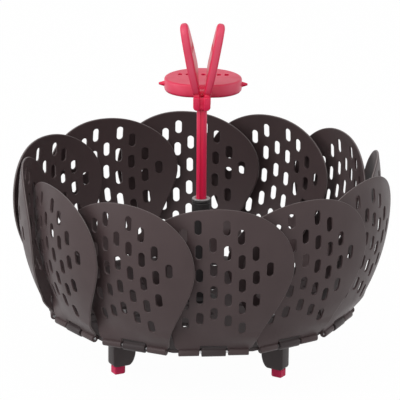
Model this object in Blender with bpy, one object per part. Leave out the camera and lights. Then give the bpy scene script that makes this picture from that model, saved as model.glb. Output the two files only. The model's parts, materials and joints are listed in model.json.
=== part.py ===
"""Folding steamer basket, in metres with +Z up.

A round perforated base stands on three legs. Twelve overlapping petals are hinged to its edge.
A tube in the middle guides a sliding post, which carries a handle of three hinged leaves.
The origin is on the floor, below the post. petal_01 is centred on -Y, and the other petals
follow it counter-clockwise, seen from above.
"""

from math import atan2, ceil, cos, pi, radians, sin, sqrt, tan

import bmesh
import bpy
from mathutils import Matrix, Vector
from mathutils.geometry import delaunay_2d_cdt

# Clearances
FIT_GAP = 0.0003
SIDE_GAP = 0.0015
CUT_OVERRUN = 0.0040

# Petal ring
PETAL_COUNT = 12
HINGE_RADIUS = 0.0965
HINGE_HEIGHT = 0.0393
HINGE_PIN_RADIUS = 0.0009
LUG_RADIUS = 0.0029
LUG_HALF_WIDTH = 0.0076
KNUCKLE_RADIUS = 0.0024
KNUCKLE_END_GAP = 0.0038

# Petal sheet: distances along it start at its foot, distances across at its centreline
PETAL_WALL = 0.0014
PETAL_LENGTH = 0.1007
PETAL_FOOT_RISE = 0.0017
PETAL_FOOT_CORNER = 0.0020
PETAL_OVERLAP = 0.0227
PETAL_WIDEST_AT = 0.0620
PETAL_LEAN = radians(31.4)
PETAL_CURL_RADIUS = 0.1390
PETAL_BOW_MARGIN = 0.0015
PETAL_BOW_RUN = 0.0160
PETAL_TILT = radians(8.8)
PETAL_TILT_RUN = 0.0142
PETAL_FLARE_SLOPE = 0.15
PETAL_HEAD_POWER = 2.2
PETAL_FLANK_STEPS = 3
PETAL_HEAD_STEPS = 6

# Petal slots: one column on the centreline and four on each side of it
SLOT_WIDTH = 0.0044
SLOT_LENGTH = 0.0094
SLOT_ROW_PITCH = 0.0158
SLOT_COLUMN_PITCH = 0.0088
SLOT_TOP_SHARES = (0.777, 0.885, 0.829, 0.723, 0.615)
SLOT_COUNTS = (4, 5, 5, 3, 1)
SLOT_END_SHARE = 0.55
SLOT_LEAN = 0.035

# Base
BASE_WALL = 0.0026
BASE_DROP = 0.0014
BASE_EDGE_GAP = 0.0006
HUB_RADIUS = 0.0135
HUB_RISE = 0.0012
HUB_DROP = 0.0026
VENT_WIDTH = 0.0042
VENT_RADIUS_SHARES = (0.291, 0.529, 0.841)
VENT_LENGTH_SHARES = (0.085, 0.090, 0.090)
VENT_COUNTS = (12, 18, 36)

# Legs
LEG_COUNT = 3
LEG_TURN = radians(53)
LEG_RADIUS = 0.0598
LEG_OUTER = 0.0056
LEG_INNER = 0.0106
LEG_TOE = 0.0052
LEG_TOE_RISE = 0.0110
LEG_HALF_THICKNESS = 0.0046
LEG_ROUND = 0.0012
LEG_CORNER = 0.0025
FOOT_HALF_LENGTH = 0.0041
FOOT_HALF_WIDTH = 0.0034
FOOT_OUTER_CORNER = 0.0010
FOOT_INNER_CORNER = 0.0026
FOOT_HEIGHT = 0.0052
FOOT_ROUND = 0.0008
FOOT_PEG_RADIUS = 0.0020
FOOT_PEG_LENGTH = 0.0060
SCREW_RADIUS = 0.0014
SCREW_LENGTH = 0.0130
SCREW_HEAD_RADIUS = 0.0028
SCREW_HEAD_HEIGHT = 0.0017
SCREW_HEAD_ROUND = 0.0004
SCREW_DRIVE_WIDTH = 0.0008
SCREW_DRIVE_DEPTH = 0.0008

# Tube and its mouth
TUBE_RADIUS = 0.0061
TUBE_BORE = 0.0047
TUBE_TOP = 0.1081
TUBE_TAIL = 0.0130
TUBE_FLANGE_RADIUS = 0.0100
TUBE_FLANGE_HEIGHT = 0.0026
RING_HEIGHT = 0.0025
RING_SLEEVE = 0.0110
RING_ROUND = 0.0006
NUT_RADIUS = 0.0108
NUT_HEIGHT = 0.0056
NUT_SIDES = 6

# Sliding post
POST_RADIUS = 0.0033
POST_GROOVE_HALF = 0.0010
POST_GROOVE_DEPTH = 0.0011
POST_TAIL = 0.0230
STOP_HEIGHT = 0.0090

# Handle collar, turned with the whole handle against the petals
HANDLE_TURN = radians(-6)
COLLAR_BOTTOM = 0.1702
COLLAR_HEIGHT = 0.0090
COLLAR_HALF_WIDTH = 0.0056
COLLAR_HALF_DEPTH = 0.0056
COLLAR_ROUND = 0.0012
COLLAR_CORNER = 0.0024
COLLAR_GROOVE_HALF = 0.0013
COLLAR_GROOVE_DEPTH = 0.0014
COLLAR_SOCKET = 0.0030
COLLAR_PIN_RADIUS = 0.0007

# Leaves
LEAF_PIN_RADIUS = 0.0008
LEAF_PIN_SPREAD = 0.0029
LEAF_KNUCKLE_RADIUS = 0.0023
LEAF_STEM_HALF = 0.0030
LEAF_STEM_LENGTH = 0.0034
LEAF_STEM_THICKNESS = 0.0046
LEAF_THICKNESS = 0.0052
LEAF_ROUND = 0.0014
LEAF_LENGTH = 0.0510
LEAF_FRONT_HALF = 0.0080
LEAF_FRONT_AT = 0.0340
LEAF_FRONT_POWER = 2.4
LEAF_BACK_HALF = 0.0150
LEAF_BACK_AT = 0.0185
LEAF_BACK_POWER = 1.35
LEAF_TILT = radians(10.4)
LEAF_TOE = radians(3.0)
REAR_EAR_WIDTH = 0.0021
REAR_EAR_RADIUS = 0.0023
REAR_HINGE_BACK = 0.0025
REAR_STEM_HALF = 0.0031
REAR_NECK_HALF = 0.0060
REAR_FRONT = 0.0082
REAR_THICKNESS = 0.0088
REAR_DROP = 0.0050
REAR_ROUND = 0.0015
REAR_LENGTH = 0.0545
REAR_HALF_WIDTH = 0.0254
REAR_WIDEST_AT = 0.0285
REAR_POWER = 2.0
LEAF_SLOT_WIDTH = 0.0028
LEAF_SLOT_LENGTH = 0.0044
LEAF_SLOT_PITCH = 0.0051
LEAF_SLOT_COUNT = 3
REAR_SLOT_COUNT = 7
LEAF_SLOT_AT_SHARE = 0.66
NUB_ROOT_RADIUS = 0.0019
NUB_TIP_RADIUS = 0.0009
NUB_LENGTH = 0.0037

# Finishes: colour, roughness, metallic
PETAL_FINISH = ((0.085, 0.068, 0.064), 0.48, 0.0)
BASE_FINISH = ((0.070, 0.058, 0.055), 0.50, 0.0)
TUBE_FINISH = ((0.040, 0.036, 0.036), 0.40, 0.0)
RING_FINISH = ((0.620, 0.610, 0.610), 0.45, 0.0)
RED_FINISH = ((0.560, 0.010, 0.045), 0.35, 0.0)
FOOT_FINISH = ((0.420, 0.015, 0.055), 0.60, 0.0)
STEEL_FINISH = ((0.560, 0.560, 0.570), 0.28, 1.0)

# Facets
ROUND_STEPS = 20
SMALL_STEPS = 12
PIN_STEPS = 8
KNUCKLE_STEPS = 8
LUG_STEPS = 4
LEAF_STEPS = 6
EAR_STEPS = 6
TOE_STEPS = 5
LEG_CORNER_STEPS = 2
POST_SIDE_STEPS = 8
FOOT_CORNER_STEPS = 4
COLLAR_CORNER_STEPS = 3
ROUND_SEGMENTS = 1
SMOOTH_ANGLE = radians(40)
MERGE_SHARE = 0.02
SLOPE_SHARE = 0.0005
LOOSE_POINT_SHARE = 0.25

# Values that follow from the sizes above
BASE_TOP = HINGE_HEIGHT - BASE_DROP + BASE_WALL
BASE_BOTTOM = HINGE_HEIGHT - BASE_DROP
BASE_APOTHEM = HINGE_RADIUS - KNUCKLE_RADIUS - BASE_EDGE_GAP
HUB_TOP = BASE_TOP + HUB_RISE
HUB_BOTTOM = BASE_BOTTOM - HUB_DROP
HALF_PITCH = HINGE_RADIUS * tan(pi / PETAL_COUNT)
KNUCKLE_INNER = LUG_HALF_WIDTH + SIDE_GAP
KNUCKLE_OUTER = HALF_PITCH - KNUCKLE_END_GAP
KNUCKLE_LENGTH = KNUCKLE_OUTER - KNUCKLE_INNER
PETAL_HALF_WIDTH = HALF_PITCH + PETAL_OVERLAP
PETAL_BOW_RADIUS = HINGE_RADIUS + PETAL_BOW_MARGIN
PETAL_FOOT_HALF = KNUCKLE_OUTER + PETAL_FOOT_CORNER
LEG_TOP = BASE_BOTTOM - FIT_GAP
LEG_BOTTOM = FOOT_HEIGHT + FIT_GAP
SCREW_BACK = (LEG_INNER - LEG_OUTER) / 2
COLLAR_TOP = COLLAR_BOTTOM + COLLAR_HEIGHT
LEAF_PIN_HEIGHT = COLLAR_TOP - LEAF_KNUCKLE_RADIUS
COLLAR_SLOT_FLOOR = LEAF_PIN_HEIGHT - LEAF_KNUCKLE_RADIUS - FIT_GAP
COLLAR_SLOT_HALF = LEAF_STEM_HALF + FIT_GAP
POST_TOP = COLLAR_BOTTOM + COLLAR_SOCKET
RING_BOTTOM = TUBE_TOP + FIT_GAP
RING_SLEEVE_END = RING_BOTTOM - RING_SLEEVE
STOP_TOP = RING_SLEEVE_END - FIT_GAP
POST_BOTTOM = TUBE_TOP - POST_TAIL
REAR_HINGE_Y = COLLAR_HALF_DEPTH + REAR_HINGE_BACK
REAR_HINGE_Z = COLLAR_TOP - REAR_EAR_RADIUS / 2
MERGE_DISTANCE = FIT_GAP * MERGE_SHARE


def clear_scene():
    for item in list(bpy.data.objects):
        bpy.data.objects.remove(item, do_unlink=True)


def make_material(name, finish):
    colour, roughness, metallic = finish
    material = bpy.data.materials.new(name)
    material.use_nodes = True
    shader = material.node_tree.nodes["Principled BSDF"]
    shader.inputs["Base Color"].default_value = (*colour, 1.0)
    shader.inputs["Roughness"].default_value = roughness
    shader.inputs["Metallic"].default_value = metallic
    material.diffuse_color = (*colour, 1.0)
    return material


def mesh_from(name, shape):
    """Turn a bmesh into a mesh whose faces all point outwards."""
    bmesh.ops.recalc_face_normals(shape, faces=shape.faces)
    mesh = bpy.data.meshes.new(name)
    shape.to_mesh(mesh)
    shape.free()
    return mesh


def add_object(name, mesh, material=None, place=None):
    item = bpy.data.objects.new(name, mesh)
    bpy.context.scene.collection.objects.link(item)
    if place is not None:
        item.matrix_world = place
    if material is not None and not mesh.materials:
        mesh.materials.append(material)
        mesh.shade_smooth()
        mesh.set_sharp_from_angle(angle=SMOOTH_ANGLE)
    return item


def combined(name, mesh, steps):
    """Join or cut a mesh with others. Each step is an operation and a mesh."""
    body = add_object(name, mesh)
    tools = []
    for operation, tool_mesh in steps:
        tool = add_object(name + "_tool", tool_mesh)
        tool.hide_render = True
        tool.display_type = "WIRE"
        step = body.modifiers.new(operation.lower(), "BOOLEAN")
        step.operation = operation
        step.object = tool
        tools.append(tool)
    graph = bpy.context.evaluated_depsgraph_get()
    result = bpy.data.meshes.new_from_object(body.evaluated_get(graph))
    result.name = name
    for item in [body, *tools]:
        bpy.data.objects.remove(item, do_unlink=True)
    return result


def turned(outline, steps=ROUND_STEPS):
    """Spin a closed outline of (radius, height) points round the Z axis."""
    shape = bmesh.new()
    points = [shape.verts.new((radius, 0.0, height)) for radius, height in outline]
    edges = [shape.edges.new(pair) for pair in zip(points, points[1:])]
    if outline[0][0] > 0.0:
        edges.append(shape.edges.new((points[-1], points[0])))
    bmesh.ops.spin(shape, geom=points + edges, cent=(0.0, 0.0, 0.0), axis=(0.0, 0.0, 1.0),
                   angle=2 * pi, steps=steps, use_merge=True, use_duplicate=False)
    bmesh.ops.remove_doubles(shape, verts=shape.verts, dist=MERGE_DISTANCE)
    return shape


def rod(radius, length, steps=SMALL_STEPS):
    """A plain cylinder along Z, centred on the origin."""
    shape = bmesh.new()
    bmesh.ops.create_cone(shape, cap_ends=True, segments=steps, radius1=radius, radius2=radius,
                          depth=length)
    return shape


def box(width, depth, height):
    shape = bmesh.new()
    bmesh.ops.create_cube(shape, size=1.0, matrix=Matrix.Diagonal((width, depth, height, 1.0)))
    return shape


def prism(outline, thickness):
    """A flat outline of (x, y) points, thickened along Z about the middle."""
    shape = bmesh.new()
    face = shape.faces.new([shape.verts.new((x, y, -thickness / 2)) for x, y in outline])
    grown = bmesh.ops.extrude_face_region(shape, geom=[face], use_keep_orig=True)
    upper = [item for item in grown["geom"] if isinstance(item, bmesh.types.BMVert)]
    bmesh.ops.translate(shape, verts=upper, vec=(0.0, 0.0, thickness))
    return shape


def moved(shape, matrix):
    bmesh.ops.transform(shape, matrix=matrix, verts=shape.verts)
    return shape


def merged(shapes):
    """Put several separate closed shapes in one bmesh."""
    whole = bmesh.new()
    for shape in shapes:
        bmesh.ops.recalc_face_normals(shape, faces=shape.faces)
        part = bpy.data.meshes.new("part")
        shape.to_mesh(part)
        shape.free()
        whole.from_mesh(part)
        bpy.data.meshes.remove(part)
    return whole


def rounded(shape, width, segments=ROUND_SEGMENTS):
    """Round the sharp edges of a shape."""
    bmesh.ops.recalc_face_normals(shape, faces=shape.faces)
    sharp = [edge for edge in shape.edges if edge.calc_face_angle(0.0) > SMOOTH_ANGLE]
    bmesh.ops.bevel(shape, geom=sharp, offset=width, offset_type="OFFSET", segments=segments,
                    profile=0.5, affect="EDGES", clamp_overlap=True, material=-1)
    return shape


def shifted(x=0.0, y=0.0, z=0.0):
    return Matrix.Translation((x, y, z))


def spun(angle, axis="Z"):
    return Matrix.Rotation(angle, 4, axis)


def slot_outline(x, y, width, length):
    """A long six-sided slot, centred on x and y and running along Y."""
    shoulder = length / 2 - SLOT_END_SHARE * width / 2
    return [(x + width / 2, y - shoulder), (x + width / 2, y + shoulder), (x, y + length / 2),
            (x - width / 2, y + shoulder), (x - width / 2, y - shoulder), (x, y - length / 2)]


def distance_to_loops(point, loops):
    """How far a point lies from the nearest edge of some closed outlines."""
    nearest = None
    for loop in loops:
        for start, end in zip(loop, loop[1:] + loop[:1]):
            first, run = Vector(start), Vector(end) - Vector(start)
            share = max(0.0, min(1.0, (point - first).dot(run) / run.length_squared))
            gap = (point - first - share * run).length
            nearest = gap if nearest is None else min(nearest, gap)
    return nearest


def in_material(point, loops):
    """Whether a point lies in the outline and in none of its holes."""
    crossings = 0
    for loop in loops:
        for (x1, y1), (x2, y2) in zip(loop, loop[1:] + loop[:1]):
            if (y1 > point.y) != (y2 > point.y):
                crossings += point.x < x1 + (point.y - y1) / (y2 - y1) * (x2 - x1)
    return crossings % 2 == 1


def pierced_sheet(outline, holes, spacing):
    """A flat triangulated sheet with holes, and loose points where it is wide."""
    loops = [outline] + holes
    points = [Vector(point) for loop in loops for point in loop]
    edges, start = [], 0
    for loop in loops:
        count = len(loop)
        edges += [(start + index, start + (index + 1) % count) for index in range(count)]
        start += count
    low_x, high_x = min(x for x, y in outline), max(x for x, y in outline)
    low_y, high_y = min(y for x, y in outline), max(y for x, y in outline)
    half_columns = ceil(max(high_x, -low_x) / spacing)
    clearance = spacing * LOOSE_POINT_SHARE
    for row in range(ceil((high_y - low_y) / spacing)):
        for column in range(-half_columns, half_columns + 1):
            point = Vector(((column + (row % 2) / 2) * spacing, low_y + (row + 1 / 2) * spacing))
            if in_material(point, loops) and distance_to_loops(point, loops) > clearance:
                points.append(point)
    corners, _, triangles, *_ = delaunay_2d_cdt(points, edges, [], 0, MERGE_DISTANCE * MERGE_SHARE)
    shape = bmesh.new()
    made = [shape.verts.new((point.x, point.y, 0.0)) for point in corners]
    for triangle in triangles:
        if in_material(sum((corners[index] for index in triangle), Vector((0, 0))) / 3, loops):
            shape.faces.new([made[index] for index in triangle])
    loose = [vert for vert in shape.verts if not vert.link_faces]
    bmesh.ops.delete(shape, geom=loose, context="VERTS")
    return shape


def thickened(shape, place_lower, place_upper):
    """Close a flat sheet into a plate by sending its two skins to their places."""
    flat = {vert: (vert.co.x, vert.co.y) for vert in shape.verts}
    lower = list(shape.verts)
    grown = bmesh.ops.extrude_face_region(shape, geom=list(shape.faces), use_keep_orig=True)
    upper = [item for item in grown["geom"] if isinstance(item, bmesh.types.BMVert)]
    for vert in upper:
        vert.co = place_upper(vert.co.x, vert.co.y)
    for vert in lower:
        vert.co = place_lower(*flat[vert])
    return shape


def ease(share):
    """Go from 0 to 1 with a soft start and end."""
    share = max(0.0, min(1.0, share))
    return share * share * (3 - 2 * share)


def petal_half_width(along):
    """Half the petal's width below its widest line."""
    share = along / PETAL_WIDEST_AT
    flare = share * (1 - share) ** 2 * PETAL_WIDEST_AT * PETAL_FLARE_SLOPE
    return PETAL_FOOT_HALF + (PETAL_HALF_WIDTH - PETAL_FOOT_HALF) * ease(share) + flare


def petal_surface(across, along):
    """A point of the petal's middle surface, from its hinge axis."""
    angle = PETAL_LEAN - along / PETAL_CURL_RADIUS
    out = PETAL_CURL_RADIUS * (cos(angle) - cos(PETAL_LEAN))
    rise = PETAL_CURL_RADIUS * (sin(PETAL_LEAN) - sin(angle))
    tilt = PETAL_TILT * ease(along / PETAL_TILT_RUN)
    bow = across ** 2 / (2 * PETAL_BOW_RADIUS) * max(0.0, min(1.0, along / PETAL_BOW_RUN))
    stand = across * sin(tilt) - bow
    return Vector((across * cos(tilt), -(out + stand * cos(angle)),
                   PETAL_FOOT_RISE + rise - stand * sin(angle)))


def petal_skin(depth):
    """A function that puts a flat point on one skin of the petal."""
    step = SLOPE_SHARE * PETAL_LENGTH

    def place(across, along):
        sideways = petal_surface(across + step, along) - petal_surface(across - step, along)
        upwards = petal_surface(across, along + step) - petal_surface(across, along - step)
        outwards = sideways.cross(upwards).normalized()
        return petal_surface(across, along) + outwards * depth

    return place


def petal_outline():
    notch_half = LUG_HALF_WIDTH + SIDE_GAP / 2
    notch_top = LUG_RADIUS + SIDE_GAP / 2
    foot = KNUCKLE_OUTER
    right = [(notch_half, notch_top), (notch_half, 0.0), (foot, 0.0),
             (PETAL_FOOT_HALF, PETAL_FOOT_CORNER)]
    for index in range(1, PETAL_FLANK_STEPS + 1):
        along = PETAL_WIDEST_AT * index / (PETAL_FLANK_STEPS + 1)
        right.append((petal_half_width(along), along))
    head = PETAL_LENGTH - PETAL_WIDEST_AT
    for index in range(PETAL_HEAD_STEPS):
        turn = pi / 2 * index / PETAL_HEAD_STEPS
        right.append((PETAL_HALF_WIDTH * cos(turn) ** (2 / PETAL_HEAD_POWER),
                      PETAL_WIDEST_AT + head * sin(turn) ** (2 / PETAL_HEAD_POWER)))
    left = [(-across, along) for across, along in reversed(right)]
    return right + [(0.0, PETAL_LENGTH)] + left


def petal_slots():
    slots = []
    for column, (top_share, count) in enumerate(zip(SLOT_TOP_SHARES, SLOT_COUNTS)):
        for side in ((1,) if column == 0 else (1, -1)):
            for row in range(count):
                along = top_share * PETAL_LENGTH - row * SLOT_ROW_PITCH
                across = side * column * SLOT_COLUMN_PITCH - along * SLOT_LEAN
                slots.append(slot_outline(across, along, SLOT_WIDTH, SLOT_LENGTH))
    return slots


def pin_sleeve(radius, bore, length, steps=KNUCKLE_STEPS):
    """A short tube round a pin, along Z and centred on the origin."""
    return turned([(bore, -length / 2), (radius, -length / 2), (radius, length / 2),
                   (bore, length / 2)], steps)


def petal_mesh():
    sheet = pierced_sheet(petal_outline(), petal_slots(), 2 * SLOT_COLUMN_PITCH)
    thickened(sheet, petal_skin(-PETAL_WALL / 2), petal_skin(PETAL_WALL / 2))
    knuckles = [moved(pin_sleeve(KNUCKLE_RADIUS, HINGE_PIN_RADIUS + FIT_GAP, KNUCKLE_LENGTH),
                      shifted(x=side * (KNUCKLE_INNER + KNUCKLE_LENGTH / 2)) @ spun(pi / 2, "Y"))
                for side in (1, -1)]
    return combined("petal", mesh_from("petal_sheet", sheet),
                    [("UNION", mesh_from("petal_knuckles", merged(knuckles)))])


def ring_place(index, count, radius, height, start=0.0):
    """Where one of a ring of pieces stands: its own -Y faces away from the centre."""
    angle = start + 2 * pi * index / count
    return spun(angle) @ shifted(y=-radius, z=height)


def make_petals(material):
    mesh = petal_mesh()
    for index in range(PETAL_COUNT):
        add_object(f"petal_{index + 1:02d}", mesh, material,
                   ring_place(index, PETAL_COUNT, HINGE_RADIUS, HINGE_HEIGHT))


def make_hinge_pins(material):
    pin = rod(HINGE_PIN_RADIUS, 2 * KNUCKLE_OUTER, PIN_STEPS)
    mesh = mesh_from("petal_pin", moved(pin, spun(pi / 2, "Y")))
    for index in range(PETAL_COUNT):
        add_object(f"petal_pin_{index + 1:02d}", mesh, material,
                   ring_place(index, PETAL_COUNT, HINGE_RADIUS, HINGE_HEIGHT))


def base_outline():
    corner = BASE_APOTHEM / cos(pi / PETAL_COUNT)
    turns = [2 * pi * (index + 1 / 2) / PETAL_COUNT for index in range(PETAL_COUNT)]
    return [(corner * sin(turn), -corner * cos(turn)) for turn in turns]


def base_vents():
    vents = []
    for radius_share, length_share, count in zip(VENT_RADIUS_SHARES, VENT_LENGTH_SHARES, VENT_COUNTS):
        radius, length = radius_share * BASE_APOTHEM, length_share * BASE_APOTHEM
        for index in range(count):
            turn = LEG_TURN + 2 * pi * (index + 1 / 2) / count
            place = Matrix.Rotation(turn, 2)
            vents.append([tuple(place @ Vector(point))
                          for point in slot_outline(0.0, -radius, VENT_WIDTH, length)])
    return vents


def leg_screw_holes():
    """Outlines of the holes in the base over the legs."""
    hole = SCREW_RADIUS + FIT_GAP
    holes = []
    for index in range(LEG_COUNT):
        turn = LEG_TURN + 2 * pi * index / LEG_COUNT
        centre = Matrix.Rotation(turn, 2) @ Vector((0.0, -(LEG_RADIUS - SCREW_BACK)))
        turns = [2 * pi * step / PIN_STEPS for step in range(PIN_STEPS)]
        holes.append([(centre.x + hole * cos(a), centre.y + hole * sin(a)) for a in turns])
    return holes


def lug_shape():
    """A round-nosed lug along X, whose neck runs back to the base plate."""
    neck_end = HINGE_RADIUS - BASE_APOTHEM + BASE_WALL
    nose = [(LUG_RADIUS * cos(turn), LUG_RADIUS * sin(turn))
            for turn in [-pi / 2 + pi * step / LUG_STEPS for step in range(LUG_STEPS + 1)]]
    outline = nose + [(-neck_end, BASE_WALL - BASE_DROP + FIT_GAP),
                      (-neck_end, -BASE_DROP - FIT_GAP)]
    return moved(prism(outline, 2 * LUG_HALF_WIDTH),
                 spun(-pi / 2) @ spun(pi / 2, "X"))


def make_base(material):
    holes = base_vents() + leg_screw_holes()
    hole_steps = ROUND_STEPS
    bore = TUBE_RADIUS + FIT_GAP
    inside = (bore + HUB_RADIUS) / 2
    ring = [(inside * cos(2 * pi * step / hole_steps), inside * sin(2 * pi * step / hole_steps))
            for step in range(hole_steps)]
    sheet = pierced_sheet(base_outline(), holes + [ring], HINGE_RADIUS)
    thickened(sheet, lambda x, y: Vector((x, y, BASE_BOTTOM)),
              lambda x, y: Vector((x, y, BASE_TOP)))
    hub = turned([(bore, HUB_BOTTOM), (HUB_RADIUS, HUB_BOTTOM), (HUB_RADIUS, HUB_TOP),
                  (bore, HUB_TOP)], hole_steps)
    lugs = [moved(lug_shape(), ring_place(index, PETAL_COUNT, HINGE_RADIUS, HINGE_HEIGHT))
            for index in range(PETAL_COUNT)]
    bores = [moved(rod(HINGE_PIN_RADIUS + FIT_GAP, 2 * LUG_HALF_WIDTH + CUT_OVERRUN, PIN_STEPS),
                   ring_place(index, PETAL_COUNT, HINGE_RADIUS, HINGE_HEIGHT) @ spun(pi / 2, "Y"))
             for index in range(PETAL_COUNT)]
    mesh = combined("base_plate", mesh_from("base_sheet", sheet),
                    [("UNION", mesh_from("base_hub", hub)),
                     ("UNION", mesh_from("base_lugs", merged(lugs))),
                     ("DIFFERENCE", mesh_from("base_bores", merged(bores)))])
    add_object("base_plate", mesh, material)


def leg_outline():
    """The leg seen from the side, as (outward, height) points: its inner toe is rounded away."""
    toe = [(-LEG_INNER + (LEG_INNER - LEG_TOE) * (1 - cos(turn)),
            LEG_BOTTOM + LEG_TOE_RISE * (1 - sin(turn)))
           for turn in [pi / 2 * step / TOE_STEPS for step in range(TOE_STEPS + 1)]]
    turns = [pi / 2 * step / LEG_CORNER_STEPS for step in range(LEG_CORNER_STEPS + 1)]
    corner = [(LEG_OUTER - LEG_CORNER * (1 - sin(turn)), LEG_BOTTOM + LEG_CORNER * (1 - cos(turn)))
              for turn in turns]
    return [(-LEG_INNER, LEG_TOP)] + toe + corner + [(LEG_OUTER, LEG_TOP)]


def leg_place(index):
    return ring_place(index, LEG_COUNT, LEG_RADIUS, 0.0, LEG_TURN)


def make_legs(material):
    blade = moved(prism(leg_outline(), 2 * LEG_HALF_THICKNESS), spun(-pi / 2) @ spun(pi / 2, "X"))
    rounded(blade, LEG_ROUND)
    socket = FOOT_PEG_LENGTH + FIT_GAP
    screw_hole = SCREW_LENGTH + FIT_GAP
    bores = [moved(rod(FOOT_PEG_RADIUS + FIT_GAP, socket + CUT_OVERRUN),
                   shifted(z=LEG_BOTTOM + (socket - CUT_OVERRUN) / 2)),
             moved(rod(SCREW_RADIUS + FIT_GAP, screw_hole + CUT_OVERRUN, PIN_STEPS),
                   shifted(y=SCREW_BACK, z=BASE_TOP + (CUT_OVERRUN - screw_hole) / 2))]
    mesh = combined("leg", mesh_from("leg_blade", blade),
                    [("DIFFERENCE", mesh_from("leg_bores", merged(bores)))])
    for index in range(LEG_COUNT):
        add_object(f"leg_{index + 1}", mesh, material, leg_place(index))


def foot_outline(inset):
    """The plan of a foot: its inner corners are rounder. Outwards is -Y."""
    half_x, half_y = FOOT_HALF_WIDTH - inset, FOOT_HALF_LENGTH - inset
    outline = []
    for quarter, corner in enumerate((FOOT_INNER_CORNER, FOOT_INNER_CORNER, FOOT_OUTER_CORNER,
                                      FOOT_OUTER_CORNER)):
        radius = max(corner - inset, FIT_GAP)
        side_x = 1 if quarter in (0, 3) else -1
        side_y = 1 if quarter in (0, 1) else -1
        for step in range(FOOT_CORNER_STEPS + 1):
            turn = pi / 2 * (quarter + step / FOOT_CORNER_STEPS)
            outline.append((side_x * (half_x - radius) + radius * cos(turn),
                            side_y * (half_y - radius) + radius * sin(turn)))
    return outline


def make_feet(material):
    pad = moved(prism(foot_outline(0.0), FOOT_HEIGHT), shifted(z=FOOT_HEIGHT / 2))
    underside = [vert for vert in pad.verts if vert.co.z < FOOT_HEIGHT / 2]
    chamfer = [edge for edge in pad.edges if all(vert in underside for vert in edge.verts)]
    bmesh.ops.bevel(pad, geom=chamfer, offset=FOOT_ROUND, offset_type="OFFSET",
                    segments=ROUND_SEGMENTS, profile=0.5, affect="EDGES", clamp_overlap=True,
                    material=-1)
    peg = moved(rod(FOOT_PEG_RADIUS, FOOT_PEG_LENGTH + FOOT_HEIGHT / 2),
                shifted(z=FOOT_HEIGHT / 2 + (FOOT_PEG_LENGTH + FOOT_HEIGHT / 2) / 2))
    mesh = combined("foot", mesh_from("foot_pad", pad), [("UNION", mesh_from("foot_peg", peg))])
    for index in range(LEG_COUNT):
        add_object(f"foot_{index + 1}", mesh, material, leg_place(index))


def make_leg_screws(material):
    seat = BASE_TOP + FIT_GAP
    crown = seat + SCREW_HEAD_HEIGHT
    screw = turned([
        (0.0, BASE_TOP - SCREW_LENGTH), (SCREW_RADIUS, BASE_TOP - SCREW_LENGTH),
        (SCREW_RADIUS, seat), (SCREW_HEAD_RADIUS, seat),
        (SCREW_HEAD_RADIUS, crown - SCREW_HEAD_HEIGHT / 2),
        (SCREW_HEAD_RADIUS - SCREW_HEAD_ROUND, crown), (0.0, crown)], SMALL_STEPS)
    drive = moved(box(SCREW_HEAD_RADIUS, SCREW_DRIVE_WIDTH, SCREW_DRIVE_DEPTH * 2), shifted(z=crown))
    cross = moved(box(SCREW_DRIVE_WIDTH, SCREW_HEAD_RADIUS, SCREW_DRIVE_DEPTH * 2), shifted(z=crown))
    mesh = combined("leg_screw", mesh_from("screw_body", screw),
                    [("DIFFERENCE", mesh_from("screw_drive", drive)),
                     ("DIFFERENCE", mesh_from("screw_cross", cross))])
    for index in range(LEG_COUNT):
        add_object(f"leg_screw_{index + 1}", mesh, material, leg_place(index) @ shifted(y=SCREW_BACK))


def make_tube(tube_material, ring_material, nut_material):
    flange_bottom = HUB_TOP + FIT_GAP
    tail = HUB_BOTTOM - TUBE_TAIL
    tube = turned([
        (TUBE_BORE, tail), (TUBE_RADIUS, tail), (TUBE_RADIUS, flange_bottom),
        (TUBE_FLANGE_RADIUS, flange_bottom),
        (TUBE_FLANGE_RADIUS, flange_bottom + TUBE_FLANGE_HEIGHT / 2),
        (TUBE_RADIUS, flange_bottom + TUBE_FLANGE_HEIGHT), (TUBE_RADIUS, TUBE_TOP),
        (TUBE_BORE, TUBE_TOP)])
    add_object("guide_tube", mesh_from("guide_tube", tube), tube_material)

    bore = POST_RADIUS + FIT_GAP
    crown = RING_BOTTOM + RING_HEIGHT
    sleeve = TUBE_BORE - FIT_GAP
    ring = turned([
        (bore, RING_SLEEVE_END), (sleeve, RING_SLEEVE_END), (sleeve, RING_BOTTOM),
        (TUBE_RADIUS, RING_BOTTOM), (TUBE_RADIUS, crown - RING_ROUND),
        (TUBE_RADIUS - RING_ROUND, crown), (bore, crown)])
    add_object("tube_mouth_ring", mesh_from("tube_mouth_ring", ring), ring_material)

    nut = moved(rod(NUT_RADIUS, NUT_HEIGHT, NUT_SIDES),
                shifted(z=HUB_BOTTOM - FIT_GAP - NUT_HEIGHT / 2))
    nut_bore = moved(rod(TUBE_RADIUS + FIT_GAP, NUT_HEIGHT + CUT_OVERRUN, ROUND_STEPS),
                     shifted(z=HUB_BOTTOM - FIT_GAP - NUT_HEIGHT / 2))
    mesh = combined("tube_nut", mesh_from("nut_body", nut),
                    [("DIFFERENCE", mesh_from("nut_bore", nut_bore))])
    add_object("tube_nut", mesh, nut_material)


def post_outline():
    """A round bar with a groove down its front and its back."""
    edge = sqrt(POST_RADIUS ** 2 - POST_GROOVE_HALF ** 2)
    floor = edge - POST_GROOVE_DEPTH
    start = atan2(edge, POST_GROOVE_HALF)
    turns = [start - 2 * start * step / POST_SIDE_STEPS for step in range(POST_SIDE_STEPS + 1)]
    side = [(POST_RADIUS * cos(turn), POST_RADIUS * sin(turn)) for turn in turns]
    right = [(POST_GROOVE_HALF, floor)] + side + [(POST_GROOVE_HALF, -floor)]
    return right + [(-x, -y) for x, y in right]


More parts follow.
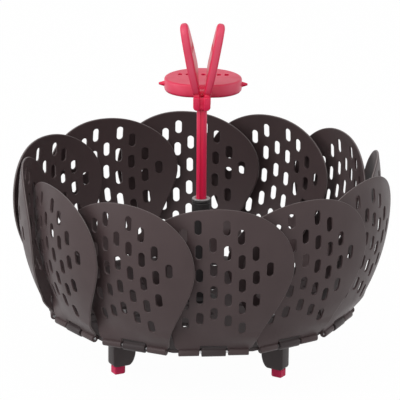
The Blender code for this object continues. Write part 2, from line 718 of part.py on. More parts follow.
def make_post(material, stop_material, pin_material):
    length = POST_TOP - FIT_GAP - POST_BOTTOM
    post = moved(prism(post_outline(), length), shifted(z=POST_BOTTOM + length / 2))
    pin_height = COLLAR_BOTTOM + COLLAR_SOCKET / 2
    pin_bore = moved(rod(COLLAR_PIN_RADIUS + FIT_GAP, 2 * POST_RADIUS + CUT_OVERRUN, PIN_STEPS),
                     shifted(z=pin_height) @ spun(pi / 2, "X"))
    mesh = combined("lift_post", mesh_from("post_bar", post),
                    [("DIFFERENCE", mesh_from("post_pin_bore", pin_bore))])
    add_object("lift_post", mesh, material, spun(HANDLE_TURN))

    pin_reach = COLLAR_HALF_DEPTH - COLLAR_GROOVE_DEPTH
    pin = moved(rod(COLLAR_PIN_RADIUS, 2 * pin_reach - FIT_GAP, PIN_STEPS),
                shifted(z=pin_height) @ spun(pi / 2, "X"))
    add_object("collar_pin", mesh_from("collar_pin", pin), pin_material, spun(HANDLE_TURN))

    stop_radius = TUBE_BORE - FIT_GAP
    stop_bore = POST_RADIUS + FIT_GAP
    stop = turned([(stop_bore, STOP_TOP - STOP_HEIGHT), (stop_radius, STOP_TOP - STOP_HEIGHT),
                   (stop_radius, STOP_TOP), (stop_bore, STOP_TOP)])
    add_object("post_stop", mesh_from("post_stop", stop), stop_material)


def collar_block():
    """The collar's body with round lower corners, along Y."""
    turns = [pi / 2 * step / COLLAR_CORNER_STEPS for step in range(COLLAR_CORNER_STEPS + 1)]
    right = [(COLLAR_HALF_WIDTH - COLLAR_CORNER * (1 - sin(turn)),
              COLLAR_BOTTOM + COLLAR_CORNER * (1 - cos(turn))) for turn in turns]
    right.append((COLLAR_HALF_WIDTH, COLLAR_TOP))
    left = [(-x, z) for x, z in reversed(right)]
    return rounded(moved(prism(right + left, 2 * COLLAR_HALF_DEPTH), spun(pi / 2, "X")), COLLAR_ROUND)


def collar_ears(ear_outer):
    ears = []
    for side in (1, -1):
        nose = [(REAR_EAR_RADIUS * sin(turn), REAR_EAR_RADIUS * cos(turn))
                for turn in [pi * step / EAR_STEPS for step in range(EAR_STEPS + 1)]]
        root = -(REAR_HINGE_BACK + 2 * COLLAR_ROUND)
        outline = nose + [(root, -REAR_EAR_RADIUS), (root, COLLAR_TOP - REAR_HINGE_Z - FIT_GAP)]
        ears.append(moved(prism(outline, REAR_EAR_WIDTH),
                          shifted(x=side * (ear_outer - REAR_EAR_WIDTH / 2), y=REAR_HINGE_Y,
                                  z=REAR_HINGE_Z) @ spun(pi / 2) @ spun(pi / 2, "X")))
    return ears


def make_collar(material):
    ear_outer = REAR_STEM_HALF + FIT_GAP + REAR_EAR_WIDTH
    groove_depth = COLLAR_GROOVE_DEPTH + CUT_OVERRUN
    groove_reach = COLLAR_HALF_DEPTH + CUT_OVERRUN - groove_depth / 2
    grooves = [moved(box(2 * COLLAR_GROOVE_HALF, groove_depth, COLLAR_HEIGHT + 2 * CUT_OVERRUN),
                     shifted(y=side * groove_reach, z=COLLAR_BOTTOM + COLLAR_HEIGHT / 2))
               for side in (1, -1)]
    slot_height = COLLAR_TOP - COLLAR_SLOT_FLOOR + CUT_OVERRUN
    slot = moved(box(2 * COLLAR_HALF_WIDTH + CUT_OVERRUN, 2 * COLLAR_SLOT_HALF, slot_height),
                 shifted(z=COLLAR_SLOT_FLOOR + slot_height / 2))
    socket = moved(rod(POST_RADIUS + FIT_GAP, COLLAR_SOCKET + CUT_OVERRUN, ROUND_STEPS),
                   shifted(z=POST_TOP - (COLLAR_SOCKET + CUT_OVERRUN) / 2))
    pin_depth = COLLAR_HALF_DEPTH + COLLAR_SLOT_HALF + LEAF_PIN_RADIUS + CUT_OVERRUN
    pin_bores = [moved(rod(LEAF_PIN_RADIUS + FIT_GAP, pin_depth, SMALL_STEPS),
                       shifted(x=side * LEAF_PIN_SPREAD,
                               y=COLLAR_SLOT_HALF + LEAF_PIN_RADIUS - pin_depth / 2,
                               z=LEAF_PIN_HEIGHT) @ spun(pi / 2, "X")) for side in (1, -1)]
    cross_bore = moved(rod(COLLAR_PIN_RADIUS + FIT_GAP, 2 * COLLAR_HALF_DEPTH + CUT_OVERRUN,
                           PIN_STEPS),
                       shifted(z=COLLAR_BOTTOM + COLLAR_SOCKET / 2) @ spun(pi / 2, "X"))
    rear_bore = moved(rod(LEAF_PIN_RADIUS + FIT_GAP, 2 * ear_outer + CUT_OVERRUN, SMALL_STEPS),
                      shifted(y=REAR_HINGE_Y, z=REAR_HINGE_Z) @ spun(pi / 2, "Y"))
    mesh = combined("handle_collar", mesh_from("collar_block", collar_block()),
                    [("UNION", mesh_from("collar_ears", merged(collar_ears(ear_outer)))),
                     ("DIFFERENCE", mesh_from("collar_grooves", merged(grooves))),
                     ("DIFFERENCE", mesh_from("collar_slot", slot)),
                     ("DIFFERENCE", mesh_from("collar_socket", socket)),
                     ("DIFFERENCE", mesh_from("collar_pin_bores", merged(pin_bores))),
                     ("DIFFERENCE", mesh_from("collar_cross_bore", cross_bore)),
                     ("DIFFERENCE", mesh_from("collar_rear_bore", rear_bore))])
    add_object("handle_collar", mesh, material, spun(HANDLE_TURN))


def full_flank(share):
    """Go from 0 to 1 along a quarter of an ellipse."""
    return sqrt(1 - (1 - share) ** 2)


def leaf_edge(stem_half, neck, half_width, widest_at, length, flank, power):
    """One side of a leaf as (across, along) points, from its stem up to its tip."""
    edge = [(stem_half, 0.0)] + ([(stem_half, neck)] if neck else [])
    shares = [step / LEAF_STEPS for step in range(1, LEAF_STEPS + 1)]
    edge += [(stem_half + (half_width - stem_half) * flank(share),
              neck + (widest_at - neck) * share) for share in shares]
    edge += [(half_width * cos(pi / 2 * share) ** (2 / power),
              widest_at + (length - widest_at) * sin(pi / 2 * share) ** (2 / power))
             for share in shares[:-1]]
    return edge


def leaf_outline(right, left, length):
    """A leaf's whole edge from its right side and its left side, which is mirrored."""
    return right + [(0.0, length)] + [(-across, along) for across, along in reversed(left)]


def leaf_slots(count, centre, along):
    middle = (count - 1) / 2
    return [slot_outline(centre + (index - middle) * LEAF_SLOT_PITCH, along, LEAF_SLOT_WIDTH,
                         LEAF_SLOT_LENGTH) for index in range(count)]


def leaf_plate(outline, slots, thickness, rim):
    """A rounded plate in the XY plane with slots through it."""
    plate = rounded(prism(outline, thickness), rim)
    cutters = merged([prism(slot, thickness + CUT_OVERRUN) for slot in slots])
    return combined("leaf_plate", mesh_from("leaf_body", plate),
                    [("DIFFERENCE", mesh_from("leaf_slots", cutters))])


def side_leaf_outline():
    """A side leaf in its own plane: its back edge, to the right, bulges more than its front."""
    back = leaf_edge(LEAF_STEM_HALF, LEAF_STEM_LENGTH, LEAF_BACK_HALF, LEAF_BACK_AT, LEAF_LENGTH,
                     ease, LEAF_BACK_POWER)
    front = leaf_edge(LEAF_STEM_HALF, LEAF_STEM_LENGTH, LEAF_FRONT_HALF, LEAF_FRONT_AT,
                      LEAF_LENGTH, full_flank, LEAF_FRONT_POWER)
    return leaf_outline(back, front, LEAF_LENGTH)


def make_side_leaves(material, pin_material):
    outline = side_leaf_outline()
    swell = LEAF_THICKNESS / LEAF_STEM_THICKNESS - 1
    slots = leaf_slots(LEAF_SLOT_COUNT, (LEAF_BACK_HALF - LEAF_FRONT_HALF) / 4,
                       LEAF_SLOT_AT_SHARE * LEAF_LENGTH)
    for name, side in (("leaf_left", -1), ("leaf_right", 1)):
        plate = leaf_plate(outline, slots, LEAF_STEM_THICKNESS, LEAF_ROUND)
        plate.transform(spun(pi / 2) @ spun(pi / 2, "X"))
        for vert in plate.vertices:
            share = ease((vert.co.z - LEAF_STEM_LENGTH) / LEAF_BACK_AT)
            vert.co.x = vert.co.x * (1 + swell * share) - side * vert.co.y * tan(LEAF_TOE) * share
        knuckle = moved(rod(LEAF_KNUCKLE_RADIUS, 2 * LEAF_STEM_HALF, ROUND_STEPS), spun(pi / 2, "X"))
        bore = moved(rod(LEAF_PIN_RADIUS + FIT_GAP, 2 * LEAF_STEM_HALF + CUT_OVERRUN, SMALL_STEPS),
                     spun(pi / 2, "X"))
        mesh = combined(name, plate, [("UNION", mesh_from("leaf_knuckle", knuckle)),
                                      ("DIFFERENCE", mesh_from("leaf_bore", bore))])
        place = spun(HANDLE_TURN) @ shifted(x=side * LEAF_PIN_SPREAD, z=LEAF_PIN_HEIGHT)
        add_object(name, mesh, material, place @ spun(side * LEAF_TILT, "Y"))
        pin_front = COLLAR_HALF_DEPTH - FIT_GAP
        pin_length = pin_front + COLLAR_SLOT_HALF + LEAF_PIN_RADIUS - FIT_GAP
        pin = moved(rod(LEAF_PIN_RADIUS, pin_length, PIN_STEPS),
                    shifted(y=pin_length / 2 - pin_front) @ spun(pi / 2, "X"))
        add_object(name + "_pin", mesh_from(name + "_pin", pin), pin_material, place)


def tapered_nub():
    """A short tapering tab along Z that starts as deep inside the leaf as it stands out."""
    root = 2 * NUB_ROOT_RADIUS - NUB_TIP_RADIUS
    nub = turned([(0.0, -NUB_LENGTH), (root, -NUB_LENGTH), (NUB_TIP_RADIUS, NUB_LENGTH),
                  (0.0, NUB_LENGTH)], SMALL_STEPS)
    return moved(nub, spun(pi / SMALL_STEPS))


def make_rear_leaf(material, pin_material):
    length = REAR_LENGTH - REAR_FRONT
    edge = leaf_edge(REAR_NECK_HALF, 0.0, REAR_HALF_WIDTH, REAR_WIDEST_AT - REAR_FRONT, length,
                     full_flank, REAR_POWER)
    slots = leaf_slots(REAR_SLOT_COUNT, 0.0, LEAF_SLOT_AT_SHARE * REAR_LENGTH - REAR_FRONT)
    plate = leaf_plate(leaf_outline(edge, edge, length), slots, REAR_THICKNESS, REAR_ROUND)
    middle = REAR_THICKNESS / 2 - REAR_DROP
    plate.transform(shifted(y=REAR_FRONT, z=middle))
    reach = REAR_FRONT + REAR_ROUND
    bend = REAR_EAR_RADIUS + FIT_GAP
    web = LEAF_KNUCKLE_RADIUS - FIT_GAP
    profile = [(0.0, web), (0.0, -web), (bend, -web), (reach, REAR_ROUND - REAR_DROP), (reach, web)]
    neck = moved(prism(profile, 2 * (REAR_STEM_HALF - FIT_GAP)), spun(pi / 2) @ spun(pi / 2, "X"))
    knuckle = moved(rod(LEAF_KNUCKLE_RADIUS, 2 * REAR_STEM_HALF, ROUND_STEPS), spun(pi / 2, "Y"))
    nubs = [moved(tapered_nub(), shifted(x=side * REAR_HALF_WIDTH, y=REAR_WIDEST_AT, z=middle)
                  @ spun(side * pi / 2, "Y")) for side in (1, -1)]
    bore = moved(rod(LEAF_PIN_RADIUS + FIT_GAP, 2 * REAR_STEM_HALF + CUT_OVERRUN, SMALL_STEPS),
                 spun(pi / 2, "Y"))
    mesh = combined("leaf_rear", plate, [("UNION", mesh_from("rear_neck", neck)),
                                         ("UNION", mesh_from("rear_knuckle", knuckle)),
                                         ("UNION", mesh_from("rear_nubs", merged(nubs))),
                                         ("DIFFERENCE", mesh_from("rear_bore", bore))])
    place = spun(HANDLE_TURN) @ shifted(y=REAR_HINGE_Y, z=REAR_HINGE_Z)
    add_object("leaf_rear", mesh, material, place)
    pin_length = 2 * (REAR_STEM_HALF + FIT_GAP + REAR_EAR_WIDTH) - FIT_GAP
    pin = moved(rod(LEAF_PIN_RADIUS, pin_length, PIN_STEPS), spun(pi / 2, "Y"))
    add_object("leaf_rear_pin", mesh_from("leaf_rear_pin", pin), pin_material, place)


def build():
    clear_scene()
    petal_plastic = make_material("petal_plastic", PETAL_FINISH)
    base_plastic = make_material("base_plastic", BASE_FINISH)
    tube_plastic = make_material("tube_plastic", TUBE_FINISH)
    ring_plastic = make_material("ring_plastic", RING_FINISH)
    red_plastic = make_material("red_plastic", RED_FINISH)
    foot_rubber = make_material("foot_rubber", FOOT_FINISH)
    steel = make_material("steel", STEEL_FINISH)
    make_base(base_plastic)
    make_petals(petal_plastic)
    make_hinge_pins(steel)
    make_legs(base_plastic)
    make_feet(foot_rubber)
    make_leg_screws(steel)
    make_tube(tube_plastic, ring_plastic, base_plastic)
    make_post(red_plastic, ring_plastic, steel)
    make_collar(red_plastic)
    make_side_leaves(red_plastic, steel)
    make_rear_leaf(red_plastic, steel)


if __name__ == "__main__":
    build()
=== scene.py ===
"""Looks of the folding steamer basket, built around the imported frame.

Lengths are in metres. Each finer piece takes its place from the frame's joints, and its sizes
are those of the solid that it stands for.
"""

import json
from math import atan2, cos, dist, hypot, pi, radians, sin, sqrt, tan

import bmesh
import bpy
from mathutils import Matrix, Vector


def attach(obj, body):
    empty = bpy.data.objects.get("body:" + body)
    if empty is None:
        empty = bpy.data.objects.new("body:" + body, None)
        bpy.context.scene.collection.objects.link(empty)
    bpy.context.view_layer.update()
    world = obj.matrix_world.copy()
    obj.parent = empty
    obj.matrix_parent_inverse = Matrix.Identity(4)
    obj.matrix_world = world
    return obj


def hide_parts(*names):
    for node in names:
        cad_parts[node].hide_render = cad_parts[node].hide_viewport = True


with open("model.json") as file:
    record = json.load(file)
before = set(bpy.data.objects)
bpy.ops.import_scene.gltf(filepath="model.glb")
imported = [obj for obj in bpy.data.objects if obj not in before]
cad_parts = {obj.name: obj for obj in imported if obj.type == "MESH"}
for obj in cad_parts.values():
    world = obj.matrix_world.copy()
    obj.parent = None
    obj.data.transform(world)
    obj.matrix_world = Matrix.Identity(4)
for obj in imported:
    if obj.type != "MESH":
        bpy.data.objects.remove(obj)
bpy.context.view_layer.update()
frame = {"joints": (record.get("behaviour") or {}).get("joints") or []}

# Clearances
FIT_GAP = 0.0003
SIDE_GAP = 0.0015

# Petal sheet: distances along it start at its foot, distances across at its centreline
PETAL_COUNT = 12
PETAL_WALL = 0.0014
PETAL_LENGTH = 0.1007
PETAL_FOOT_RISE = 0.0017
PETAL_FOOT_CORNER = 0.0020
PETAL_OVERLAP = 0.0227
PETAL_WIDEST_AT = 0.0620
PETAL_LEAN = radians(31.4)
PETAL_CURL_RADIUS = 0.1390
PETAL_BOW_MARGIN = 0.0015
PETAL_BOW_RUN = 0.0160
PETAL_TILT = radians(8.8)
PETAL_TILT_RUN = 0.0142
PETAL_FLARE_SLOPE = 0.15
PETAL_HEAD_POWER = 2.2
PETAL_RIM = 0.0006
PETAL_CELL = 0.0042
SLOT_WIDTH = 0.0044
SLOT_LENGTH = 0.0094
SLOT_ROW_PITCH = 0.0158
SLOT_COLUMN_PITCH = 0.0088
SLOT_LEAN = 0.035
# Columns of slots from the middle outwards: where the top slot lies, as a share of the
# petal's length, and how many slots there are
SLOT_TOP_SHARES = (0.777, 0.885, 0.829, 0.723, 0.615)
SLOT_COUNTS = (4, 5, 5, 3, 1)

# Soft edges of all slots, and the narrow flat ring inside every rounded edge
SLOT_RIM = 0.00025
SUPPORT_RIM = 0.0002

# Hinges at the foot of a petal
LUG_RADIUS = 0.0029
LUG_HALF_WIDTH = 0.0076
KNUCKLE_RADIUS = 0.0024
KNUCKLE_END_GAP = 0.0038
HINGE_ROUND = 0.0004

# Base, with the hub in its middle
BASE_WALL = 0.0026
BASE_DROP = 0.0014
BASE_EDGE_GAP = 0.0006
BASE_RIM = 0.0004
HUB_RADIUS = 0.0135
HUB_RISE = 0.0012
HUB_DROP = 0.0026
HUB_ROUND = 0.0005
VENT_WIDTH = 0.0042
# Rings of vents from the middle outwards, in shares of the base's half width
VENT_RADIUS_SHARES = (0.291, 0.529, 0.841)
VENT_LENGTH_SHARES = (0.085, 0.090, 0.090)
VENT_COUNTS = (12, 18, 36)

# Legs and feet: a leg's sides are measured from the line at LEG_RADIUS
LEG_COUNT = 3
LEG_TURN = radians(53)
LEG_RADIUS = 0.0598
LEG_OUTER = 0.0056
LEG_INNER = 0.0106
LEG_TOE = 0.0052
LEG_TOE_RISE = 0.0110
LEG_HALF_THICKNESS = 0.0046
LEG_ROUND = 0.0010
LEG_CORNER = 0.0025
FOOT_HALF_LENGTH = 0.0041
FOOT_HALF_WIDTH = 0.0034
FOOT_OUTER_CORNER = 0.0010
FOOT_INNER_CORNER = 0.0026
FOOT_HEIGHT = 0.0052
FOOT_ROUND = 0.0008
SCREW_RADIUS = 0.0014

# Tube, the ring at its mouth, and the sliding post
TUBE_RADIUS = 0.0061
TUBE_BORE = 0.0047
TUBE_TOP = 0.1081
TUBE_TAIL = 0.0130
TUBE_FLANGE_RADIUS = 0.0100
TUBE_FLANGE_HEIGHT = 0.0026
TUBE_ROUND = 0.0003
RING_HEIGHT = 0.0025
RING_SLEEVE = 0.0110
RING_ROUND = 0.0007
POST_RADIUS = 0.0033
POST_GROOVE_HALF = 0.0010
POST_GROOVE_DEPTH = 0.0011
POST_TAIL = 0.0230
POST_ROUND = 0.0002

# Collar on the post, turned with the whole handle against the petals
HANDLE_TURN = radians(-6)
COLLAR_BOTTOM = 0.1702
COLLAR_HEIGHT = 0.0090
COLLAR_HALF_WIDTH = 0.0056
COLLAR_HALF_DEPTH = 0.0056
COLLAR_ROUND = 0.0008
COLLAR_CORNER = 0.0026
COLLAR_GROOVE_HALF = 0.0013
COLLAR_GROOVE_DEPTH = 0.0014
COLLAR_SOCKET = 0.0030

# Side leaves: distances along them start at their hinge axis
LEAF_KNUCKLE_RADIUS = 0.0023
LEAF_STEM_HALF = 0.0030
LEAF_STEM_LENGTH = 0.0034
LEAF_STEM_THICKNESS = 0.0046
LEAF_THICKNESS = 0.0052
LEAF_RIM = 0.0012
LEAF_TIP_ROUND = 0.0030
LEAF_TIP_SHARE = 0.75
LEAF_LENGTH = 0.0507
LEAF_FRONT_HALF = 0.0080
LEAF_FRONT_AT = 0.0340
LEAF_FRONT_POWER = 2.4
LEAF_BACK_HALF = 0.0150
LEAF_BACK_AT = 0.0185
LEAF_BACK_POWER = 1.35
LEAF_TILT = radians(10.4)
LEAF_TOE = radians(3.0)
LEAF_CELL = 0.0040
LEAF_SLOT_WIDTH = 0.0028
LEAF_SLOT_LENGTH = 0.0044
LEAF_SLOT_PITCH = 0.0051
LEAF_SLOT_COUNT = 3
LEAF_SLOT_AT_SHARE = 0.66

# Level rear leaf, whose plate starts a little behind its hinge axis
REAR_SLOT_COUNT = 7
REAR_EAR_WIDTH = 0.0021
REAR_EAR_RADIUS = 0.0023
REAR_HINGE_BACK = 0.0025
REAR_STEM_HALF = 0.0031
REAR_NECK_HALF = 0.0060
REAR_FRONT = 0.0082
REAR_THICKNESS = 0.0088
REAR_DROP = 0.0050
REAR_RIM = 0.0016
REAR_UPPER_SHARE = 0.6
REAR_LOWER_SHARE = 1.3
REAR_LENGTH = 0.0545
REAR_HALF_WIDTH = 0.0254
REAR_WIDEST_AT = 0.0285
REAR_POWER = 2.0
NUB_ROOT_RADIUS = 0.0019
NUB_TIP_RADIUS = 0.0009
NUB_LENGTH = 0.0037
NUB_ROUND = 0.0007

# Facets, and the small distances used in modelling
ROUND_STEPS = 72
HINGE_STEPS = 36
HEAD_STEPS = 40
FLANK_STEPS = 16
LEAF_STEPS = 28
LUG_STEPS = 14
LEG_STEPS = 14
POST_STEPS = 24
CORNER_STEPS = 8
SLOT_STEPS = 20
RIM_RINGS = 3
SMOOTH_ANGLE = radians(38)
SNAP = 0.00003
SLOPE_STEP = 0.00005

# Finishes
MOTTLE_DETAIL = 4.0
GRAIN_DETAIL = 2.0
GRAIN_STRENGTH = 0.5
NOISE_REACH = (0.3, 0.7)
# Names of the moulded skin's sockets; the third colour and the last value paint a highlight along
# the rounded edges
SKIN_COLOURS = ("Color", "Shade Color", "Edge Highlight Color")
SKIN_VALUES = ("Mottle Scale", "Grain Scale", "Grain Depth", "Low Roughness", "High Roughness",
               "Edge Highlight Strength")
# Each plastic: how strongly it bends light, then its colours and its values as listed above. Its
# third colour is a painted highlight along the rounded edges
PLASTICS = {
    "petal_plastic": (1.35,
                      ((0.088, 0.060, 0.061), (0.069, 0.047, 0.048), (0.280, 0.245, 0.240)),
                      (70.0, 3500.0, 0.00004, 0.40, 0.50, 1.6)),
    "base_plastic": (1.40,
                     ((0.048, 0.034, 0.035), (0.038, 0.027, 0.028), (0.110, 0.090, 0.092)),
                     (60.0, 3500.0, 0.00004, 0.44, 0.54, 0.6)),
    "tube_plastic": (1.43,
                     ((0.036, 0.032, 0.033), (0.027, 0.024, 0.025), (0.080, 0.076, 0.078)),
                     (90.0, 3000.0, 0.00003, 0.34, 0.44, 0.5)),
    # The ring's pale third colour paints a glossy highlight on its upper face
    "ring_plastic": (1.50,
                     ((0.070, 0.066, 0.067), (0.056, 0.052, 0.053), (0.550, 0.540, 0.540)),
                     (120.0, 3000.0, 0.00003, 0.25, 0.35, 1.6)),
    "red_plastic": (1.50,
                    ((0.920, 0.018, 0.098), (0.840, 0.014, 0.082), (0.980, 0.140, 0.230)),
                    (80.0, 3000.0, 0.00003, 0.32, 0.40, 0.9)),
    "foot_rubber": (1.45,
                    ((0.800, 0.022, 0.115), (0.700, 0.018, 0.100), (0.840, 0.070, 0.150)),
                    (150.0, 5000.0, 0.00006, 0.55, 0.68, 0.3)),
}
STEEL_GRAIN_SCALE = 900.0
STEEL_GRAIN_DETAIL = 3.0
STEEL_DARK = (0.50, 0.50, 0.51, 1.0)
STEEL_LIGHT = (0.62, 0.62, 0.63, 1.0)
STEEL_ROUGHNESS = (0.22, 0.38)

# Camera, at the photograph's angle
VIEW_TURN = radians(-5.0)
VIEW_RISE = radians(16.85)
VIEW_ROLL = radians(0.45)
VIEW_DISTANCE = 1.933
AIM_HEIGHT = 0.1092
AIM_SIDE = -0.00078
LENS = 268.3
SENSOR_WIDTH = 36.0

# Studio
FLOOR_SIZE = 20.0
FLOOR_GREY = (0.50, 0.50, 0.50, 1.0)
FLOOR_ROUGHNESS = 0.9
# Strength of the floor's own white, and its share of what the camera sees: the rest is shadow
FLOOR_GLOW = 1.03
FLOOR_SHARE = 0.95
WORLD_WHITE = (1.0, 1.0, 1.0, 1.0)
WORLD_STRENGTH = 0.50
BACKDROP_PALE = (0.80, 0.80, 0.80, 1.0)
# Each lamp: its name, place, size and power
LAMPS = (("key", (-1.0, -1.3, 1.5), 1.1, 12.0), ("left_side", (-1.7, -0.2, 0.7), 0.9, 8.0),
         ("right_side", (1.7, -0.2, 0.7), 0.9, 4.0), ("front", (-0.1, -2.0, 0.7), 0.9, 1.5))


def joint_place(name):
    """Where a joint of the frame lies."""
    return Vector(next(item for item in frame["joints"] if item["name"] == name)["pos_m"])


# Values that follow from the frame and the sizes above
FIRST_HINGE = joint_place("petal_01_hinge")
HINGE_RADIUS = hypot(FIRST_HINGE.x, FIRST_HINGE.y)
HINGE_HEIGHT = FIRST_HINGE.z
HALF_PITCH = HINGE_RADIUS * tan(pi / PETAL_COUNT)
KNUCKLE_INNER = LUG_HALF_WIDTH + SIDE_GAP
KNUCKLE_OUTER = HALF_PITCH - KNUCKLE_END_GAP
KNUCKLE_LENGTH = KNUCKLE_OUTER - KNUCKLE_INNER
PETAL_HALF_WIDTH = HALF_PITCH + PETAL_OVERLAP
PETAL_FOOT_HALF = KNUCKLE_OUTER + PETAL_FOOT_CORNER
PETAL_BOW_RADIUS = HINGE_RADIUS + PETAL_BOW_MARGIN
BASE_APOTHEM = HINGE_RADIUS - KNUCKLE_RADIUS - BASE_EDGE_GAP
BASE_BOTTOM = HINGE_HEIGHT - BASE_DROP
BASE_TOP = BASE_BOTTOM + BASE_WALL
HUB_TOP = BASE_TOP + HUB_RISE
HUB_BOTTOM = BASE_BOTTOM - HUB_DROP
LEG_TOP = BASE_BOTTOM - FIT_GAP
LEG_BOTTOM = FOOT_HEIGHT + FIT_GAP
SCREW_BACK = (LEG_INNER - LEG_OUTER) / 2
COLLAR_TOP = COLLAR_BOTTOM + COLLAR_HEIGHT
COLLAR_SLOT_HALF = LEAF_STEM_HALF + FIT_GAP
COLLAR_SLOT_FLOOR = COLLAR_TOP - 2 * LEAF_KNUCKLE_RADIUS - FIT_GAP
LEAF_SLOT_MIDDLE = (LEAF_BACK_HALF - LEAF_FRONT_HALF) / 4


def ease(share):
    """Go from 0 to 1 with a soft start and end."""
    share = max(0.0, min(1.0, share))
    return share * share * (3 - 2 * share)


def full_flank(share):
    """Go from 0 to 1 along a quarter of an ellipse."""
    return sqrt(1 - (1 - share) ** 2)


def quarter(steps):
    """The angles of a quarter turn."""
    return [pi / 2 * step / steps for step in range(steps + 1)]


def round_corner(radius, steps):
    """How far a rounded corner stays back from its two sides, from one side to the other."""
    return [(radius * (1 - sin(turn)), radius * (1 - cos(turn))) for turn in quarter(steps)]


def half_round(radius):
    """The points of a half circle that bulges to the right, from its bottom up."""
    turns = [-pi / 2 + pi * step / LUG_STEPS for step in range(LUG_STEPS + 1)]
    return [(radius * cos(turn), radius * sin(turn)) for turn in turns]


def shifted(x=0.0, y=0.0, z=0.0):
    """A move, to be applied with moved."""
    return Matrix.Translation((x, y, z))


def spun(angle, axis="Z"):
    """A turn about an axis through the origin."""
    return Matrix.Rotation(angle, 4, axis)


# A flat outline drawn in XY and thickened along Z stands up after this turn:
# its first axis points back, and its second one up
STOOD_UP = spun(pi / 2) @ spun(pi / 2, "X")


def fill_flat(shape, outline, slots, rim):
    """Fill a flat outline with slots, with rings of faces for its rounded edges.

    The layer called drop holds how far below the skin each point lies.
    """
    drop = shape.verts.layers.float.new("drop")
    corners = [shape.verts.new((x, y, 0.0)) for x, y in outline]
    inner = [shape.faces.new(corners)]
    bmesh.ops.recalc_face_normals(shape, faces=inner)
    for vert in corners:
        vert[drop] = rim
    turns = quarter(RIM_RINGS)
    widths = [rim * (cos(low) - cos(high)) for low, high in zip(turns, turns[1:])]
    drops = [rim * (1 - sin(turn)) for turn in turns[1:]]
    for width, depth in zip(widths + [SUPPORT_RIM], drops + [0.0]):
        bmesh.ops.inset_region(shape, faces=inner, thickness=width, use_boundary=True,
                               use_even_offset=True)
        for vert in inner[0].verts:
            vert[drop] = depth
    pierce(shape, inner[0], slots, drop)
    return drop


def slot_rings(shape, slots, drop):
    """Draw round-ended slots, given as x, y, width, length and turn, and list their edges."""
    edges = {}
    for x, y, width, length, turn in slots:
        verts = bmesh.ops.create_circle(shape, cap_ends=False, segments=SLOT_STEPS,
                                        radius=width / 2,
                                        matrix=spun(pi / SLOT_STEPS))["verts"]
        reach = (length - width) / 2
        for vert in verts:
            vert.co.y += reach if vert.co.y > 0.0 else -reach
            vert[drop] = SLOT_RIM
            edges.update(dict.fromkeys(vert.link_edges))
        bmesh.ops.transform(shape, verts=verts, matrix=shifted(x, y) @ spun(turn))
    return list(edges)


def pierce(shape, face, slots, drop):
    """Replace a face by one with slots, each with a soft edge."""
    border = list(face.edges)
    bmesh.ops.delete(shape, geom=[face], context="FACES_ONLY")
    edges = border + slot_rings(shape, slots, drop)
    filled = bmesh.ops.triangle_fill(shape, use_beauty=True, use_dissolve=False, edges=edges,
                                     normal=(0.0, 0.0, 1.0))
    inner = [item for item in filled["geom"] if isinstance(item, bmesh.types.BMFace)]
    for width in (SLOT_RIM, SUPPORT_RIM):
        ring = set(bmesh.ops.inset_region(shape, faces=inner, thickness=width, use_boundary=True,
                                          use_even_offset=True)["faces"])
        inner = [item for item in inner if item.is_valid and item not in ring]
        for vert in {vert for item in inner for vert in item.verts}:
            vert[drop] = 0.0


def cut_grid(shape, cell):
    """Cut a flat sheet along a grid, so that it can be bent."""
    for axis in (0, 1):
        reach = [vert.co[axis] for vert in shape.verts]
        low, high = min(reach), max(reach)
        count = int((high - low) / cell)
        for step in range(1, count + 1):
            place, normal = Vector(), Vector()
            place[axis] = low + (high - low) * step / (count + 1)
            normal[axis] = 1.0
            bmesh.ops.bisect_plane(shape, geom=shape.verts[:] + shape.edges[:] + shape.faces[:],
                                   dist=SNAP, plane_co=place, plane_no=normal)
    bmesh.ops.remove_doubles(shape, verts=shape.verts, dist=SNAP)


def plate(outline, slots, wall, rim, cell, place, upper_share=1.0, lower_share=1.0):
    """A pierced plate with rounded edges, cut into cells where it is to be bent.

    Place puts a flat point and its height above the middle in space. The two shares stretch
    the rounding of the upper and the lower edge. The vertex layer rim is 1 at the outline.
    """
    shape = bmesh.new()
    drop = fill_flat(shape, outline, slots, rim)
    # The rim layer marks the rounded edges, where the materials paint a highlight
    edge = shape.verts.layers.float.new("rim")
    if cell:
        cut_grid(shape, cell)
    for vert in shape.verts:
        vert[edge] = max(0.0, vert[drop] - SLOT_RIM) / (rim - SLOT_RIM)
    lower = list(shape.verts)
    flat = {vert: (vert.co.x, vert.co.y, lower_share * vert[drop] - wall / 2) for vert in lower}
    grown = bmesh.ops.extrude_face_region(shape, geom=shape.faces[:], use_keep_orig=True)["geom"]
    for vert in grown:
        if isinstance(vert, bmesh.types.BMVert):
            vert.co = place(vert.co.x, vert.co.y, wall / 2 - upper_share * vert[drop])
    for vert in lower:
        vert.co = place(*flat[vert])
    shape.verts.layers.float.remove(drop)
    bmesh.ops.recalc_face_normals(shape, faces=shape.faces)
    return shape


def lathe(outline, steps=ROUND_STEPS):
    """Spin (radius, height) points round Z. An outline that starts off the axis is closed."""
    shape = bmesh.new()
    points = [shape.verts.new((radius, 0.0, height)) for radius, height in outline]
    edges = [shape.edges.new(pair) for pair in zip(points, points[1:])]
    if outline[0][0] > 0.0:
        edges.append(shape.edges.new((points[-1], points[0])))
    bmesh.ops.spin(shape, geom=points + edges, cent=(0.0, 0.0, 0.0), axis=(0.0, 0.0, 1.0),
                   angle=2 * pi, steps=steps, use_merge=True, use_duplicate=False)
    bmesh.ops.remove_doubles(shape, verts=shape.verts, dist=SNAP)
    bmesh.ops.recalc_face_normals(shape, faces=shape.faces)
    return shape


def hinge_knuckle(radius, length):
    """A round knuckle along Z with rounded ends, centred on the origin."""
    half = length / 2
    corner = [(radius - x, half - z) for x, z in round_corner(HINGE_ROUND, RIM_RINGS)]
    side = corner + [(x, -z) for x, z in reversed(corner)]
    return lathe([(0.0, half)] + side + [(0.0, -half)], HINGE_STEPS)


